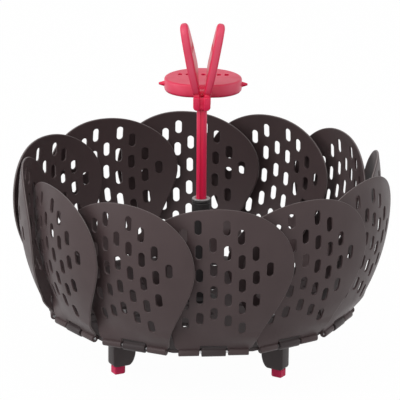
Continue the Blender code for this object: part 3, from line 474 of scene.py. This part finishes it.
def ringed(inner, outer, low, high, rim):
    """The outline of a ring with all four edges rounded, as (radius, height) points."""
    corner = round_corner(rim, RIM_RINGS)
    top = [(outer - x, high - z) for x, z in corner]
    foot = [(outer - x, low + z) for x, z in reversed(corner)]
    back = [(inner + x, low + z) for x, z in corner]
    back_top = [(inner + x, high - z) for x, z in reversed(corner)]
    return top + foot + back + back_top


def soften(shape, rim, edges=None):
    """Round the sharp edges of a shape, or the edges that are given."""
    bmesh.ops.recalc_face_normals(shape, faces=shape.faces)
    if edges is None:
        edges = [edge for edge in shape.edges if edge.calc_face_angle(0.0) > SMOOTH_ANGLE]
    bmesh.ops.bevel(shape, geom=edges, offset=rim, offset_type="OFFSET", segments=RIM_RINGS,
                    profile=0.5, affect="EDGES", clamp_overlap=True, material=-1)
    return shape


def thickened(outline, low, thickness):
    """A flat outline thickened upwards from a height, and the edges of its underside."""
    shape = bmesh.new()
    face = shape.faces.new([shape.verts.new((x, y, low)) for x, y in outline])
    underside = list(face.edges)
    grown = bmesh.ops.extrude_face_region(shape, geom=[face], use_keep_orig=True)["geom"]
    upper = [item for item in grown if isinstance(item, bmesh.types.BMVert)]
    bmesh.ops.translate(shape, verts=upper, vec=(0.0, 0.0, thickness))
    return shape, underside


def block(outline, thickness, rim):
    """A flat outline thickened along Z about the middle, with rounded edges."""
    shape, _ = thickened(outline, -thickness / 2, thickness)
    return soften(shape, rim)


def moved(shape, matrix):
    """Move a shape, and hand it on."""
    bmesh.ops.transform(shape, matrix=matrix, verts=shape.verts)
    return shape


def joined(shapes):
    """Put several shapes in one bmesh, where each has the vertex layer rim."""
    whole = bmesh.new()
    whole.verts.layers.float.new("rim")
    for shape in shapes:
        part = bpy.data.meshes.new("part")
        shape.to_mesh(part)
        shape.free()
        whole.from_mesh(part)
        bpy.data.meshes.remove(part)
    return whole


def add_object(name, data):
    """Put a mesh, a camera or a lamp in the scene."""
    thing = bpy.data.objects.new(name, data)
    bpy.context.scene.collection.objects.link(thing)
    return thing


def add_piece(name, shape, material, body, node):
    """Make a piece that rides on a body and stands for a solid."""
    mesh = bpy.data.meshes.new(name)
    shape.to_mesh(mesh)
    shape.free()
    mesh.shade_smooth()
    mesh.set_sharp_from_angle(angle=SMOOTH_ANGLE)
    mesh.materials.append(material)
    piece = add_object(name, mesh)
    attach(piece, body)
    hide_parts(node)


# Petals

def petal_half_width(along):
    """Half the petal's width below its widest line."""
    share = along / PETAL_WIDEST_AT
    flare = share * (1 - share) ** 2 * PETAL_WIDEST_AT * PETAL_FLARE_SLOPE
    return PETAL_FOOT_HALF + (PETAL_HALF_WIDTH - PETAL_FOOT_HALF) * ease(share) + flare


def petal_surface(across, along):
    """A point of the petal's middle surface, from its hinge axis."""
    angle = PETAL_LEAN - along / PETAL_CURL_RADIUS
    out = PETAL_CURL_RADIUS * (cos(angle) - cos(PETAL_LEAN))
    rise = PETAL_CURL_RADIUS * (sin(PETAL_LEAN) - sin(angle))
    tilt = PETAL_TILT * ease(along / PETAL_TILT_RUN)
    bow = across ** 2 / (2 * PETAL_BOW_RADIUS) * max(0.0, min(1.0, along / PETAL_BOW_RUN))
    stand = across * sin(tilt) - bow
    return Vector((across * cos(tilt), -(out + stand * cos(angle)),
                   PETAL_FOOT_RISE + rise - stand * sin(angle)))


def petal_place(across, along, height):
    """A point of the petal at a height above its middle surface."""
    step = SLOPE_STEP
    sideways = petal_surface(across + step, along) - petal_surface(across - step, along)
    upwards = petal_surface(across, along + step) - petal_surface(across, along - step)
    return petal_surface(across, along) + sideways.cross(upwards).normalized() * height


def petal_outline():
    """The edge of a flat petal, with a notch for the lug in its foot."""
    notch_half = LUG_HALF_WIDTH + SIDE_GAP / 2
    notch_top = LUG_RADIUS + SIDE_GAP / 2
    right = [(notch_half, notch_top), (notch_half, 0.0), (KNUCKLE_OUTER, 0.0),
             (PETAL_FOOT_HALF, PETAL_FOOT_CORNER)]
    for index in range(1, FLANK_STEPS + 1):
        along = PETAL_WIDEST_AT * index / (FLANK_STEPS + 1)
        right.append((petal_half_width(along), along))
    head = PETAL_LENGTH - PETAL_WIDEST_AT
    for turn in quarter(HEAD_STEPS)[:-1]:
        right.append((PETAL_HALF_WIDTH * cos(turn) ** (2 / PETAL_HEAD_POWER),
                      PETAL_WIDEST_AT + head * sin(turn) ** (2 / PETAL_HEAD_POWER)))
    left = [(-across, along) for across, along in reversed(right)]
    return right + [(0.0, PETAL_LENGTH)] + left


def petal_slots():
    """The slots of a petal in columns, leaning a little to one side."""
    slots = []
    for column, (top_share, count) in enumerate(zip(SLOT_TOP_SHARES, SLOT_COUNTS)):
        for side in ((1,) if column == 0 else (1, -1)):
            for row in range(count):
                along = top_share * PETAL_LENGTH - row * SLOT_ROW_PITCH
                across = side * column * SLOT_COLUMN_PITCH - along * SLOT_LEAN
                slots.append((across, along, SLOT_WIDTH, SLOT_LENGTH, 0.0))
    return slots


def make_petals(material):
    """Twelve petals alike, each with two knuckles on its hinge."""
    sheet = plate(petal_outline(), petal_slots(), PETAL_WALL, PETAL_RIM, PETAL_CELL, petal_place)
    reach = KNUCKLE_INNER + KNUCKLE_LENGTH / 2
    knuckles = [moved(hinge_knuckle(KNUCKLE_RADIUS, KNUCKLE_LENGTH),
                      shifted(x=side * reach) @ spun(pi / 2, "Y")) for side in (1, -1)]
    petal = joined([sheet] + knuckles)
    for index in range(PETAL_COUNT):
        node = f"petal_{index + 1:02d}"
        hinge = joint_place(node + "_hinge")
        place = spun(atan2(hinge.x, -hinge.y)) @ shifted(y=-HINGE_RADIUS, z=HINGE_HEIGHT)
        add_piece(node + "_sheet", moved(petal.copy(), place), material, node,
                  node)
    petal.free()


# Base, legs and feet

def base_outline():
    """The twelve corners of the base, which lie between the hinges."""
    corner = BASE_APOTHEM / cos(pi / PETAL_COUNT)
    turns = [2 * pi * (index + 1 / 2) / PETAL_COUNT for index in range(PETAL_COUNT)]
    return [(corner * sin(turn), -corner * cos(turn)) for turn in turns]


def base_openings():
    """The round middle, the vents and the screw holes of the base."""
    middle = TUBE_RADIUS + FIT_GAP + HUB_RADIUS
    openings = [(0.0, 0.0, middle, middle, 0.0)]
    rings = zip(VENT_RADIUS_SHARES, VENT_LENGTH_SHARES, VENT_COUNTS)
    for radius_share, length_share, count in rings:
        radius, length = radius_share * BASE_APOTHEM, length_share * BASE_APOTHEM
        for index in range(count):
            turn = LEG_TURN + 2 * pi * (index + 1 / 2) / count
            openings.append((radius * sin(turn), -radius * cos(turn), VENT_WIDTH, length, turn))
    hole = 2 * (SCREW_RADIUS + FIT_GAP)
    reach = LEG_RADIUS - SCREW_BACK
    for index in range(LEG_COUNT):
        turn = LEG_TURN + 2 * pi * index / LEG_COUNT
        openings.append((reach * sin(turn), -reach * cos(turn), hole, hole, turn))
    return openings


def lug_shape():
    """A round-nosed lug whose neck runs back to the base plate."""
    neck_end = HINGE_RADIUS - BASE_APOTHEM + BASE_WALL
    outline = half_round(LUG_RADIUS) + [(-neck_end, BASE_WALL - BASE_DROP + FIT_GAP),
                                        (-neck_end, -BASE_DROP - FIT_GAP)]
    return moved(block(outline, 2 * LUG_HALF_WIDTH, HINGE_ROUND), spun(pi) @ STOOD_UP)


def make_base(material):
    """The pierced base plate with its hub and its twelve lugs."""
    middle = (BASE_BOTTOM + BASE_TOP) / 2
    sheet = plate(base_outline(), base_openings(), BASE_WALL, BASE_RIM, None,
                  lambda x, y, height: Vector((x, y, middle + height)))
    hub = lathe(ringed(TUBE_RADIUS + FIT_GAP, HUB_RADIUS, HUB_BOTTOM, HUB_TOP, HUB_ROUND))
    lugs = [moved(lug_shape(), spun(2 * pi * index / PETAL_COUNT)
                  @ shifted(y=-HINGE_RADIUS, z=HINGE_HEIGHT)) for index in range(PETAL_COUNT)]
    add_piece("base_sheet", joined([sheet, hub] + lugs), material, "base",
              "base_plate")


def leg_shape():
    """A leg whose inner toe is rounded away. Outwards is -Y."""
    toe = [(-LEG_INNER + (LEG_INNER - LEG_TOE) * (1 - cos(turn)),
            LEG_BOTTOM + LEG_TOE_RISE * (1 - sin(turn))) for turn in quarter(LEG_STEPS)]
    corner = [(LEG_OUTER - x, LEG_BOTTOM + z) for x, z in round_corner(LEG_CORNER, LEG_STEPS)]
    outline = [(-LEG_INNER, LEG_TOP)] + toe + corner + [(LEG_OUTER, LEG_TOP)]
    return moved(block(outline, 2 * LEG_HALF_THICKNESS, LEG_ROUND), spun(pi) @ STOOD_UP)


def foot_outline():
    """The plan of a foot, whose inner corners are rounder. Outwards is -Y."""
    corners = ((1, 1, FOOT_INNER_CORNER), (-1, 1, FOOT_INNER_CORNER), (-1, -1, FOOT_OUTER_CORNER),
               (1, -1, FOOT_OUTER_CORNER))
    return [(side_x * (FOOT_HALF_WIDTH - radius) + radius * cos(turn + pi / 2 * index),
             side_y * (FOOT_HALF_LENGTH - radius) + radius * sin(turn + pi / 2 * index))
            for index, (side_x, side_y, radius) in enumerate(corners)
            for turn in quarter(CORNER_STEPS)]


def foot_shape():
    """A foot that stands on the floor, rounded round its underside."""
    shape, underside = thickened(foot_outline(), 0.0, FOOT_HEIGHT)
    return soften(shape, FOOT_ROUND, underside)


def make_legs(leg_material, foot_material):
    """Three legs alike, each on its foot."""
    leg, foot = leg_shape(), foot_shape()
    for index in range(LEG_COUNT):
        place = spun(LEG_TURN + 2 * pi * index / LEG_COUNT) @ shifted(y=-LEG_RADIUS)
        number = index + 1
        add_piece(f"leg_blade_{number}", moved(leg.copy(), place), leg_material, "base",
                  f"leg_{number}")
        add_piece(f"foot_pad_{number}", moved(foot.copy(), place), foot_material, "base",
                  f"foot_{number}")
    leg.free()
    foot.free()


# Tube and post

def make_tube(tube_material, ring_material):
    """The flanged tube, and the ring at its mouth, whose upper face carries a painted pale
    highlight.
    """
    tail = HUB_BOTTOM - TUBE_TAIL
    flange = HUB_TOP + FIT_GAP
    tube = lathe([(TUBE_BORE, tail), (TUBE_RADIUS, tail), (TUBE_RADIUS, flange),
                  (TUBE_FLANGE_RADIUS - TUBE_ROUND, flange),
                  (TUBE_FLANGE_RADIUS, flange + TUBE_ROUND),
                  (TUBE_FLANGE_RADIUS, flange + TUBE_FLANGE_HEIGHT / 2),
                  (TUBE_RADIUS, flange + TUBE_FLANGE_HEIGHT), (TUBE_RADIUS, TUBE_TOP - TUBE_ROUND),
                  (TUBE_RADIUS - TUBE_ROUND, TUBE_TOP), (TUBE_BORE, TUBE_TOP)])
    add_piece("tube_shell", tube, tube_material, "base", "guide_tube")

    low = TUBE_TOP + FIT_GAP
    bore = POST_RADIUS + FIT_GAP
    ring = lathe(ringed(bore, TUBE_RADIUS, low, low + RING_HEIGHT, RING_ROUND))
    # Mark the ring's upper face, where its material paints a pale glossy highlight
    edge = ring.verts.layers.float.new("rim")
    for vert in ring.verts:
        vert[edge] = float(vert.co.z > low + RING_HEIGHT - RING_ROUND / 2)
    sleeve = lathe(ringed(bore, TUBE_BORE - FIT_GAP, low - RING_SLEEVE, low + RING_HEIGHT / 2,
                          TUBE_ROUND))
    add_piece("mouth_ring", joined([ring, sleeve]), ring_material, "base",
              "tube_mouth_ring")


def post_outline():
    """A round bar with a groove down its front and its back."""
    edge = sqrt(POST_RADIUS ** 2 - POST_GROOVE_HALF ** 2)
    start = atan2(edge, POST_GROOVE_HALF)
    turns = [start - 2 * start * step / POST_STEPS for step in range(POST_STEPS + 1)]
    side = [(POST_RADIUS * cos(turn), POST_RADIUS * sin(turn)) for turn in turns]
    groove = edge - POST_GROOVE_DEPTH
    right = [(POST_GROOVE_HALF, groove)] + side + [(POST_GROOVE_HALF, -groove)]
    return right + [(-x, -y) for x, y in right]


def make_post(material):
    """The sliding post, from inside the tube up into the collar."""
    low = TUBE_TOP - POST_TAIL
    high = COLLAR_BOTTOM + COLLAR_SOCKET - FIT_GAP
    post = moved(block(post_outline(), high - low, POST_ROUND), shifted(z=(low + high) / 2))
    add_piece("post_bar", moved(post, spun(HANDLE_TURN)), material, "handle",
              "lift_post")


# Collar and leaves

def collar_outline(inner, top):
    """The right half of the collar seen from the front, from an inner line outwards."""
    corner = [(COLLAR_HALF_WIDTH - x, COLLAR_BOTTOM + z)
              for x, z in round_corner(COLLAR_CORNER, CORNER_STEPS)]
    return [(inner, COLLAR_BOTTOM)] + corner + [(COLLAR_HALF_WIDTH, top), (inner, top)]


def front_block(outline, front, back, rim):
    """A block whose outline is seen from the front, from one depth to another."""
    stand = shifted(y=(front + back) / 2) @ spun(pi / 2, "X")
    return moved(block(outline, back - front, rim), stand)


def collar_ear(side):
    """One of the two ears behind the collar that hold the rear leaf's pin."""
    root = -(REAR_HINGE_BACK + 2 * COLLAR_ROUND)
    outline = half_round(REAR_EAR_RADIUS) + [(root, REAR_EAR_RADIUS / 2 - FIT_GAP),
                                             (root, -REAR_EAR_RADIUS)]
    reach = REAR_STEM_HALF + FIT_GAP + REAR_EAR_WIDTH / 2
    return moved(block(outline, REAR_EAR_WIDTH, HINGE_ROUND),
                 shifted(side * reach, COLLAR_HALF_DEPTH + REAR_HINGE_BACK,
                         COLLAR_TOP - REAR_EAR_RADIUS / 2) @ STOOD_UP)


def make_collar(material):
    """Two lobes in front and two behind, round a core that holds the leaves."""
    wall = COLLAR_HALF_DEPTH - COLLAR_GROOVE_DEPTH
    inset = COLLAR_ROUND / 2
    half = [(min(x, COLLAR_HALF_WIDTH - inset), max(z, COLLAR_BOTTOM + inset))
            for x, z in collar_outline(0.0, COLLAR_SLOT_FLOOR)[1:-1]]
    core = half + [(-x, z) for x, z in reversed(half)]
    width = COLLAR_HALF_WIDTH - inset
    top = COLLAR_TOP - inset
    web = [(width, COLLAR_SLOT_FLOOR - COLLAR_ROUND), (width, top), (-width, top),
           (-width, COLLAR_SLOT_FLOOR - COLLAR_ROUND)]
    lobe = collar_outline(COLLAR_GROOVE_HALF, COLLAR_TOP)
    left_lobe = [(-x, z) for x, z in reversed(lobe)]
    shapes = [front_block(core, -wall, wall, inset)]
    for side in (1, -1):
        low, high = sorted((side * COLLAR_SLOT_HALF, side * wall))
        shapes.append(front_block(web, low, high, inset / 2))
        low, high = sorted((side * COLLAR_SLOT_HALF, side * COLLAR_HALF_DEPTH))
        shapes.append(front_block(lobe, low, high, COLLAR_ROUND))
        shapes.append(front_block(left_lobe, low, high, COLLAR_ROUND))
        shapes.append(collar_ear(side))
    add_piece("collar_block", moved(joined(shapes), spun(HANDLE_TURN)), material, "handle",
              "handle_collar")


def leaf_edge(stem_half, neck, half_width, widest_at, length, flank, power):
    """One side of a leaf as (across, along) points, from its stem up to its tip."""
    edge = [(stem_half, 0.0)] + ([(stem_half, neck)] if neck else [])
    shares = [step / LEAF_STEPS for step in range(1, LEAF_STEPS + 1)]
    edge += [(stem_half + (half_width - stem_half) * flank(share),
              neck + (widest_at - neck) * share) for share in shares]
    edge += [(half_width * cos(pi / 2 * share) ** (2 / power),
              widest_at + (length - widest_at) * sin(pi / 2 * share) ** (2 / power))
             for share in shares[:-1]]
    return edge


def leaf_outline(right, left, length):
    """A leaf's whole edge from its right side and its left side, which is mirrored."""
    return right + [(0.0, length)] + [(-across, along) for across, along in reversed(left)]


def thinned(outline, gap):
    """Leave out the points that lie nearer than a gap to the last one kept."""
    kept = outline[:1]
    for point in outline[1:]:
        if dist(point, kept[-1]) > gap:
            kept.append(point)
    return kept


def leaf_slots(count, centre, along):
    """A row of short slots across a leaf."""
    middle = (count - 1) / 2
    return [(centre + (index - middle) * LEAF_SLOT_PITCH, along, LEAF_SLOT_WIDTH,
             LEAF_SLOT_LENGTH, 0.0) for index in range(count)]


def side_leaf_outline():
    """A side leaf in its own plane: its back edge, to the right, bulges more than its front."""
    back = leaf_edge(LEAF_STEM_HALF, LEAF_STEM_LENGTH, LEAF_BACK_HALF, LEAF_BACK_AT, LEAF_LENGTH,
                     ease, LEAF_BACK_POWER)
    front = leaf_edge(LEAF_STEM_HALF, LEAF_STEM_LENGTH, LEAF_FRONT_HALF, LEAF_FRONT_AT,
                      LEAF_LENGTH, full_flank, LEAF_FRONT_POWER)
    return thinned(leaf_outline(back, front, LEAF_LENGTH), LEAF_RIM)


def side_leaf_place(side):
    """The bending of a side leaf, which swells above its stem and rounds off at its tip."""
    swell = LEAF_THICKNESS / LEAF_STEM_THICKNESS - 1

    def place(across, along, height):
        share = ease((along - LEAF_STEM_LENGTH) / LEAF_BACK_AT)
        cap = max(0.0, 1 - (LEAF_LENGTH - along) / LEAF_TIP_ROUND)
        height *= (1 + swell * share) * sqrt(1 - (LEAF_TIP_SHARE * cap) ** 2)
        return Vector((height - side * across * tan(LEAF_TOE) * share, across, along))

    return place


def make_side_leaves(material):
    """The two upright leaves, each with a knuckle on its hinge."""
    outline = side_leaf_outline()
    slots = leaf_slots(LEAF_SLOT_COUNT, LEAF_SLOT_MIDDLE, LEAF_SLOT_AT_SHARE * LEAF_LENGTH)
    for name, side in (("leaf_left", -1), ("leaf_right", 1)):
        blade = plate(outline, slots, LEAF_STEM_THICKNESS, LEAF_RIM, LEAF_CELL,
                      side_leaf_place(side))
        knuckle = moved(hinge_knuckle(LEAF_KNUCKLE_RADIUS, 2 * LEAF_STEM_HALF),
                        spun(pi / 2, "X"))
        stand = (shifted(*joint_place(name + "_hinge")) @ spun(HANDLE_TURN)
                 @ spun(side * LEAF_TILT, "Y"))
        add_piece(name + "_blade", moved(joined([blade, knuckle]), stand), material, name,
                  name)


def tapered_nub():
    """A short tapering tab along Z that starts as deep inside the leaf as it stands out."""
    tip = [(NUB_TIP_RADIUS - x, NUB_LENGTH - z) for x, z in round_corner(NUB_ROUND, RIM_RINGS)]
    root = 2 * NUB_ROOT_RADIUS - NUB_TIP_RADIUS
    return lathe([(0.0, NUB_LENGTH)] + tip + [(root, -NUB_LENGTH), (0.0, -NUB_LENGTH)],
                 HINGE_STEPS)


def make_rear_leaf(material):
    """The level leaf with its knuckle, the neck between them and a nub at each side."""
    middle = REAR_THICKNESS / 2 - REAR_DROP
    length = REAR_LENGTH - REAR_FRONT
    edge = leaf_edge(REAR_NECK_HALF, 0.0, REAR_HALF_WIDTH, REAR_WIDEST_AT - REAR_FRONT, length,
                     full_flank, REAR_POWER)
    slots = leaf_slots(REAR_SLOT_COUNT, 0.0, LEAF_SLOT_AT_SHARE * REAR_LENGTH - REAR_FRONT)
    blade = plate(leaf_outline(edge, edge, length), slots, REAR_THICKNESS, REAR_RIM, None,
                  lambda x, y, height: Vector((x, y + REAR_FRONT, middle + height)),
                  REAR_UPPER_SHARE, REAR_LOWER_SHARE)
    knuckle = moved(hinge_knuckle(LEAF_KNUCKLE_RADIUS, 2 * REAR_STEM_HALF), spun(pi / 2, "Y"))
    reach = REAR_FRONT + REAR_RIM
    web = LEAF_KNUCKLE_RADIUS - FIT_GAP
    profile = [(0.0, web), (0.0, -web), (REAR_EAR_RADIUS + FIT_GAP, -web),
               (reach, REAR_RIM - REAR_DROP), (reach, web)]
    neck = moved(block(profile, 2 * (REAR_STEM_HALF - FIT_GAP), HINGE_ROUND), STOOD_UP)
    nubs = [moved(tapered_nub(), shifted(x=side * REAR_HALF_WIDTH, y=REAR_WIDEST_AT, z=middle)
                  @ spun(side * pi / 2, "Y")) for side in (1, -1)]
    stand = shifted(*joint_place("leaf_rear_hinge")) @ spun(HANDLE_TURN)
    add_piece("leaf_rear_blade", moved(joined([blade, knuckle, neck] + nubs), stand), material,
              "leaf_rear", "leaf_rear")


# Materials

def new_group(name, inputs, outputs):
    """A shader node group with named sockets, given as (name, kind) pairs."""
    group = bpy.data.node_groups.new(name, "ShaderNodeTree")
    for title, kind in inputs:
        group.interface.new_socket(title, in_out="INPUT", socket_type=kind)
    for title, kind in outputs:
        group.interface.new_socket(title, in_out="OUTPUT", socket_type=kind)
    return group, group.nodes.new("NodeGroupInput"), group.nodes.new("NodeGroupOutput")


def new_material(name):
    """A material, with its nodes, its links and its Principled shader."""
    material = bpy.data.materials.new(name)
    material.use_nodes = True
    nodes = material.node_tree.nodes
    return material, nodes, material.node_tree.links, nodes["Principled BSDF"]


def add_noise(nodes, links, detail):
    """A noise on the object's own coordinates."""
    coordinates = nodes.new("ShaderNodeTexCoord")
    noise = nodes.new("ShaderNodeTexNoise")
    noise.inputs["Detail"].default_value = detail
    links.new(coordinates.outputs["Object"], noise.inputs["Vector"])
    return noise


def add_math(nodes, links, operation, first, second):
    """One step of arithmetic on two sockets."""
    node = nodes.new("ShaderNodeMath")
    node.operation = operation
    links.new(first, node.inputs[0])
    links.new(second, node.inputs[1])
    return node


def add_mix(nodes, links, share):
    """A mix of two colours, A and B, by the share that a socket gives."""
    mix = nodes.new("ShaderNodeMix")
    mix.data_type = "RGBA"
    links.new(share, mix.inputs["Factor"])
    return mix


def make_moulded_skin():
    """Moulded plastic: soft mottling, a fine grain, and a painted highlight along the edges that
    the rim layer marks.
    """
    group, given, made = new_group(
        "moulded_skin",
        [(title, "NodeSocketColor") for title in SKIN_COLOURS]
        + [(title, "NodeSocketFloat") for title in SKIN_VALUES],
        [("Color", "NodeSocketColor"), ("Roughness", "NodeSocketFloat"),
         ("Normal", "NodeSocketVector")])
    nodes, links = group.nodes, group.links
    mottle = add_noise(nodes, links, MOTTLE_DETAIL)
    links.new(given.outputs["Mottle Scale"], mottle.inputs["Scale"])
    grain = add_noise(nodes, links, GRAIN_DETAIL)
    links.new(given.outputs["Grain Scale"], grain.inputs["Scale"])

    shade = add_mix(nodes, links, mottle.outputs["Fac"])
    links.new(given.outputs["Color"], shade.inputs["A"])
    links.new(given.outputs["Shade Color"], shade.inputs["B"])

    # Painted highlight: where the rim layer marks an edge, the colour is lightened towards the
    # third colour, broken up by the mottling
    rim = nodes.new("ShaderNodeAttribute")
    rim.attribute_name = "rim"
    edge_highlight = add_math(nodes, links, "MULTIPLY", rim.outputs["Fac"], given.outputs["Edge Highlight Strength"])
    broken_highlight = add_math(nodes, links, "MULTIPLY", edge_highlight.outputs[0], mottle.outputs["Fac"])
    broken_highlight.use_clamp = True
    edge = add_mix(nodes, links, broken_highlight.outputs[0])
    links.new(shade.outputs["Result"], edge.inputs["A"])
    links.new(given.outputs["Edge Highlight Color"], edge.inputs["B"])
    links.new(edge.outputs["Result"], made.inputs["Color"])

    sheen = nodes.new("ShaderNodeMapRange")
    sheen.inputs["From Min"].default_value, sheen.inputs["From Max"].default_value = NOISE_REACH
    links.new(mottle.outputs["Fac"], sheen.inputs["Value"])
    links.new(given.outputs["Low Roughness"], sheen.inputs["To Min"])
    links.new(given.outputs["High Roughness"], sheen.inputs["To Max"])
    links.new(sheen.outputs["Result"], made.inputs["Roughness"])

    bump = nodes.new("ShaderNodeBump")
    bump.inputs["Strength"].default_value = GRAIN_STRENGTH
    links.new(given.outputs["Grain Depth"], bump.inputs["Distance"])
    links.new(grain.outputs["Fac"], bump.inputs["Height"])
    links.new(bump.outputs["Normal"], made.inputs["Normal"])
    return group


def make_plastic(name, group, bend, colours, values):
    """A plastic that takes its colour, roughness and grain from the moulded skin.

    The colours and the values are those of the skin's sockets, in their order.
    """
    material, nodes, links, shader = new_material(name)
    shader.inputs["IOR"].default_value = bend
    skin = nodes.new("ShaderNodeGroup")
    skin.node_tree = group
    for title, colour in zip(SKIN_COLOURS, colours):
        skin.inputs[title].default_value = (*colour, 1.0)
    for title, value in zip(SKIN_VALUES, values):
        skin.inputs[title].default_value = value
    links.new(skin.outputs["Color"], shader.inputs["Base Color"])
    links.new(skin.outputs["Roughness"], shader.inputs["Roughness"])
    links.new(skin.outputs["Normal"], shader.inputs["Normal"])
    material.diffuse_color = (*colours[0], 1.0)
    return material


def make_steel():
    """Drawn steel: a fine grain of roughness and a faint grey mottling."""
    material, nodes, links, shader = new_material("drawn_steel")
    shader.inputs["Metallic"].default_value = 1.0
    noise = add_noise(nodes, links, STEEL_GRAIN_DETAIL)
    noise.inputs["Scale"].default_value = STEEL_GRAIN_SCALE
    tone = add_mix(nodes, links, noise.outputs["Fac"])
    tone.inputs["A"].default_value = STEEL_DARK
    tone.inputs["B"].default_value = STEEL_LIGHT
    links.new(tone.outputs["Result"], shader.inputs["Base Color"])
    sheen = nodes.new("ShaderNodeMapRange")
    sheen.inputs["To Min"].default_value, sheen.inputs["To Max"].default_value = STEEL_ROUGHNESS
    links.new(noise.outputs["Fac"], sheen.inputs["Value"])
    links.new(sheen.outputs["Result"], shader.inputs["Roughness"])
    return material


def dress(solids, material):
    """Give solids that keep their own shape a better material."""
    for solid in solids:
        for slot in bpy.data.objects[solid].material_slots:
            slot.material = material


# Camera and studio

def make_camera():
    """A camera at the photograph's distance, angle and roll."""
    data = bpy.data.cameras.new("camera")
    data.lens = LENS
    data.sensor_width = SENSOR_WIDTH
    camera = add_object("camera", data)
    camera.matrix_world = (spun(VIEW_TURN) @ shifted(x=AIM_SIDE, z=AIM_HEIGHT)
                           @ spun(-VIEW_RISE, "X") @ shifted(y=-VIEW_DISTANCE)
                           @ spun(pi / 2, "X") @ spun(VIEW_ROLL))
    bpy.context.scene.camera = camera


def seen_directly(nodes, links):
    """A mask that is 1 for the camera, for gloss and for glass."""
    path = nodes.new("ShaderNodeLightPath")
    seen = path.outputs["Is Camera Ray"]
    for kind in ("Is Glossy Ray", "Is Transmission Ray"):
        seen = add_math(nodes, links, "MAXIMUM", seen, path.outputs[kind]).outputs[0]
    return seen


def make_floor():
    """A floor that looks white, and still takes the object's shadow."""
    shape = bmesh.new()
    bmesh.ops.create_grid(shape, x_segments=1, y_segments=1, size=FLOOR_SIZE / 2)
    mesh = bpy.data.meshes.new("floor")
    shape.to_mesh(mesh)
    shape.free()
    floor = add_object("floor", mesh)
    material, nodes, links, shader = new_material("floor_white")
    shader.inputs["Base Color"].default_value = FLOOR_GREY
    shader.inputs["Roughness"].default_value = FLOOR_ROUGHNESS
    glow = nodes.new("ShaderNodeEmission")
    glow.inputs["Strength"].default_value = FLOOR_GLOW
    share = nodes.new("ShaderNodeMath")
    share.operation = "MULTIPLY"
    share.inputs[1].default_value = FLOOR_SHARE
    links.new(seen_directly(nodes, links), share.inputs[0])
    mix = nodes.new("ShaderNodeMixShader")
    links.new(share.outputs[0], mix.inputs["Fac"])
    links.new(shader.outputs[0], mix.inputs[1])
    links.new(glow.outputs[0], mix.inputs[2])
    links.new(mix.outputs[0], nodes["Material Output"].inputs["Surface"])
    mesh.materials.append(material)


def make_world():
    """Even white light from all round, and a pale backdrop where it shows."""
    world = bpy.data.worlds.new("studio")
    bpy.context.scene.world = world
    world.use_nodes = True
    nodes, links = world.node_tree.nodes, world.node_tree.links
    sky = nodes["Background"]
    sky.inputs["Color"].default_value = WORLD_WHITE
    sky.inputs["Strength"].default_value = WORLD_STRENGTH
    backdrop = nodes.new("ShaderNodeBackground")
    backdrop.inputs["Color"].default_value = BACKDROP_PALE
    mix = nodes.new("ShaderNodeMixShader")
    links.new(seen_directly(nodes, links), mix.inputs["Fac"])
    links.new(sky.outputs[0], mix.inputs[1])
    links.new(backdrop.outputs[0], mix.inputs[2])
    links.new(mix.outputs[0], nodes["World Output"].inputs["Surface"])


def make_lamps():
    """Soft square lamps, all aimed at the middle of the object."""
    for name, place, size, power in LAMPS:
        data = bpy.data.lights.new(name, "AREA")
        data.size = size
        data.energy = power
        lamp = add_object(name, data)
        aim = Vector((0.0, 0.0, AIM_HEIGHT)) - Vector(place)
        lamp.matrix_world = shifted(*place) @ aim.to_track_quat("-Z", "Y").to_matrix().to_4x4()


moulded_skin = make_moulded_skin()
plastics = {name: make_plastic(name, moulded_skin, *finish) for name, finish in PLASTICS.items()}
steel = make_steel()

make_petals(plastics["petal_plastic"])
make_base(plastics["base_plastic"])
make_legs(plastics["base_plastic"], plastics["foot_rubber"])
make_tube(plastics["tube_plastic"], plastics["ring_plastic"])
make_post(plastics["red_plastic"])
make_collar(plastics["red_plastic"])
make_side_leaves(plastics["red_plastic"])
make_rear_leaf(plastics["red_plastic"])
dress([f"petal_pin_{index + 1:02d}" for index in range(PETAL_COUNT)], steel)
dress([f"leg_screw_{index + 1}" for index in range(LEG_COUNT)], steel)
dress(["collar_pin", "leaf_left_pin", "leaf_right_pin", "leaf_rear_pin"], steel)
dress(["tube_nut"], plastics["base_plastic"])
dress(["post_stop"], plastics["ring_plastic"])
make_camera()
make_floor()
make_world()
make_lamps()
bpy.context.scene.view_settings.view_transform = "Standard"
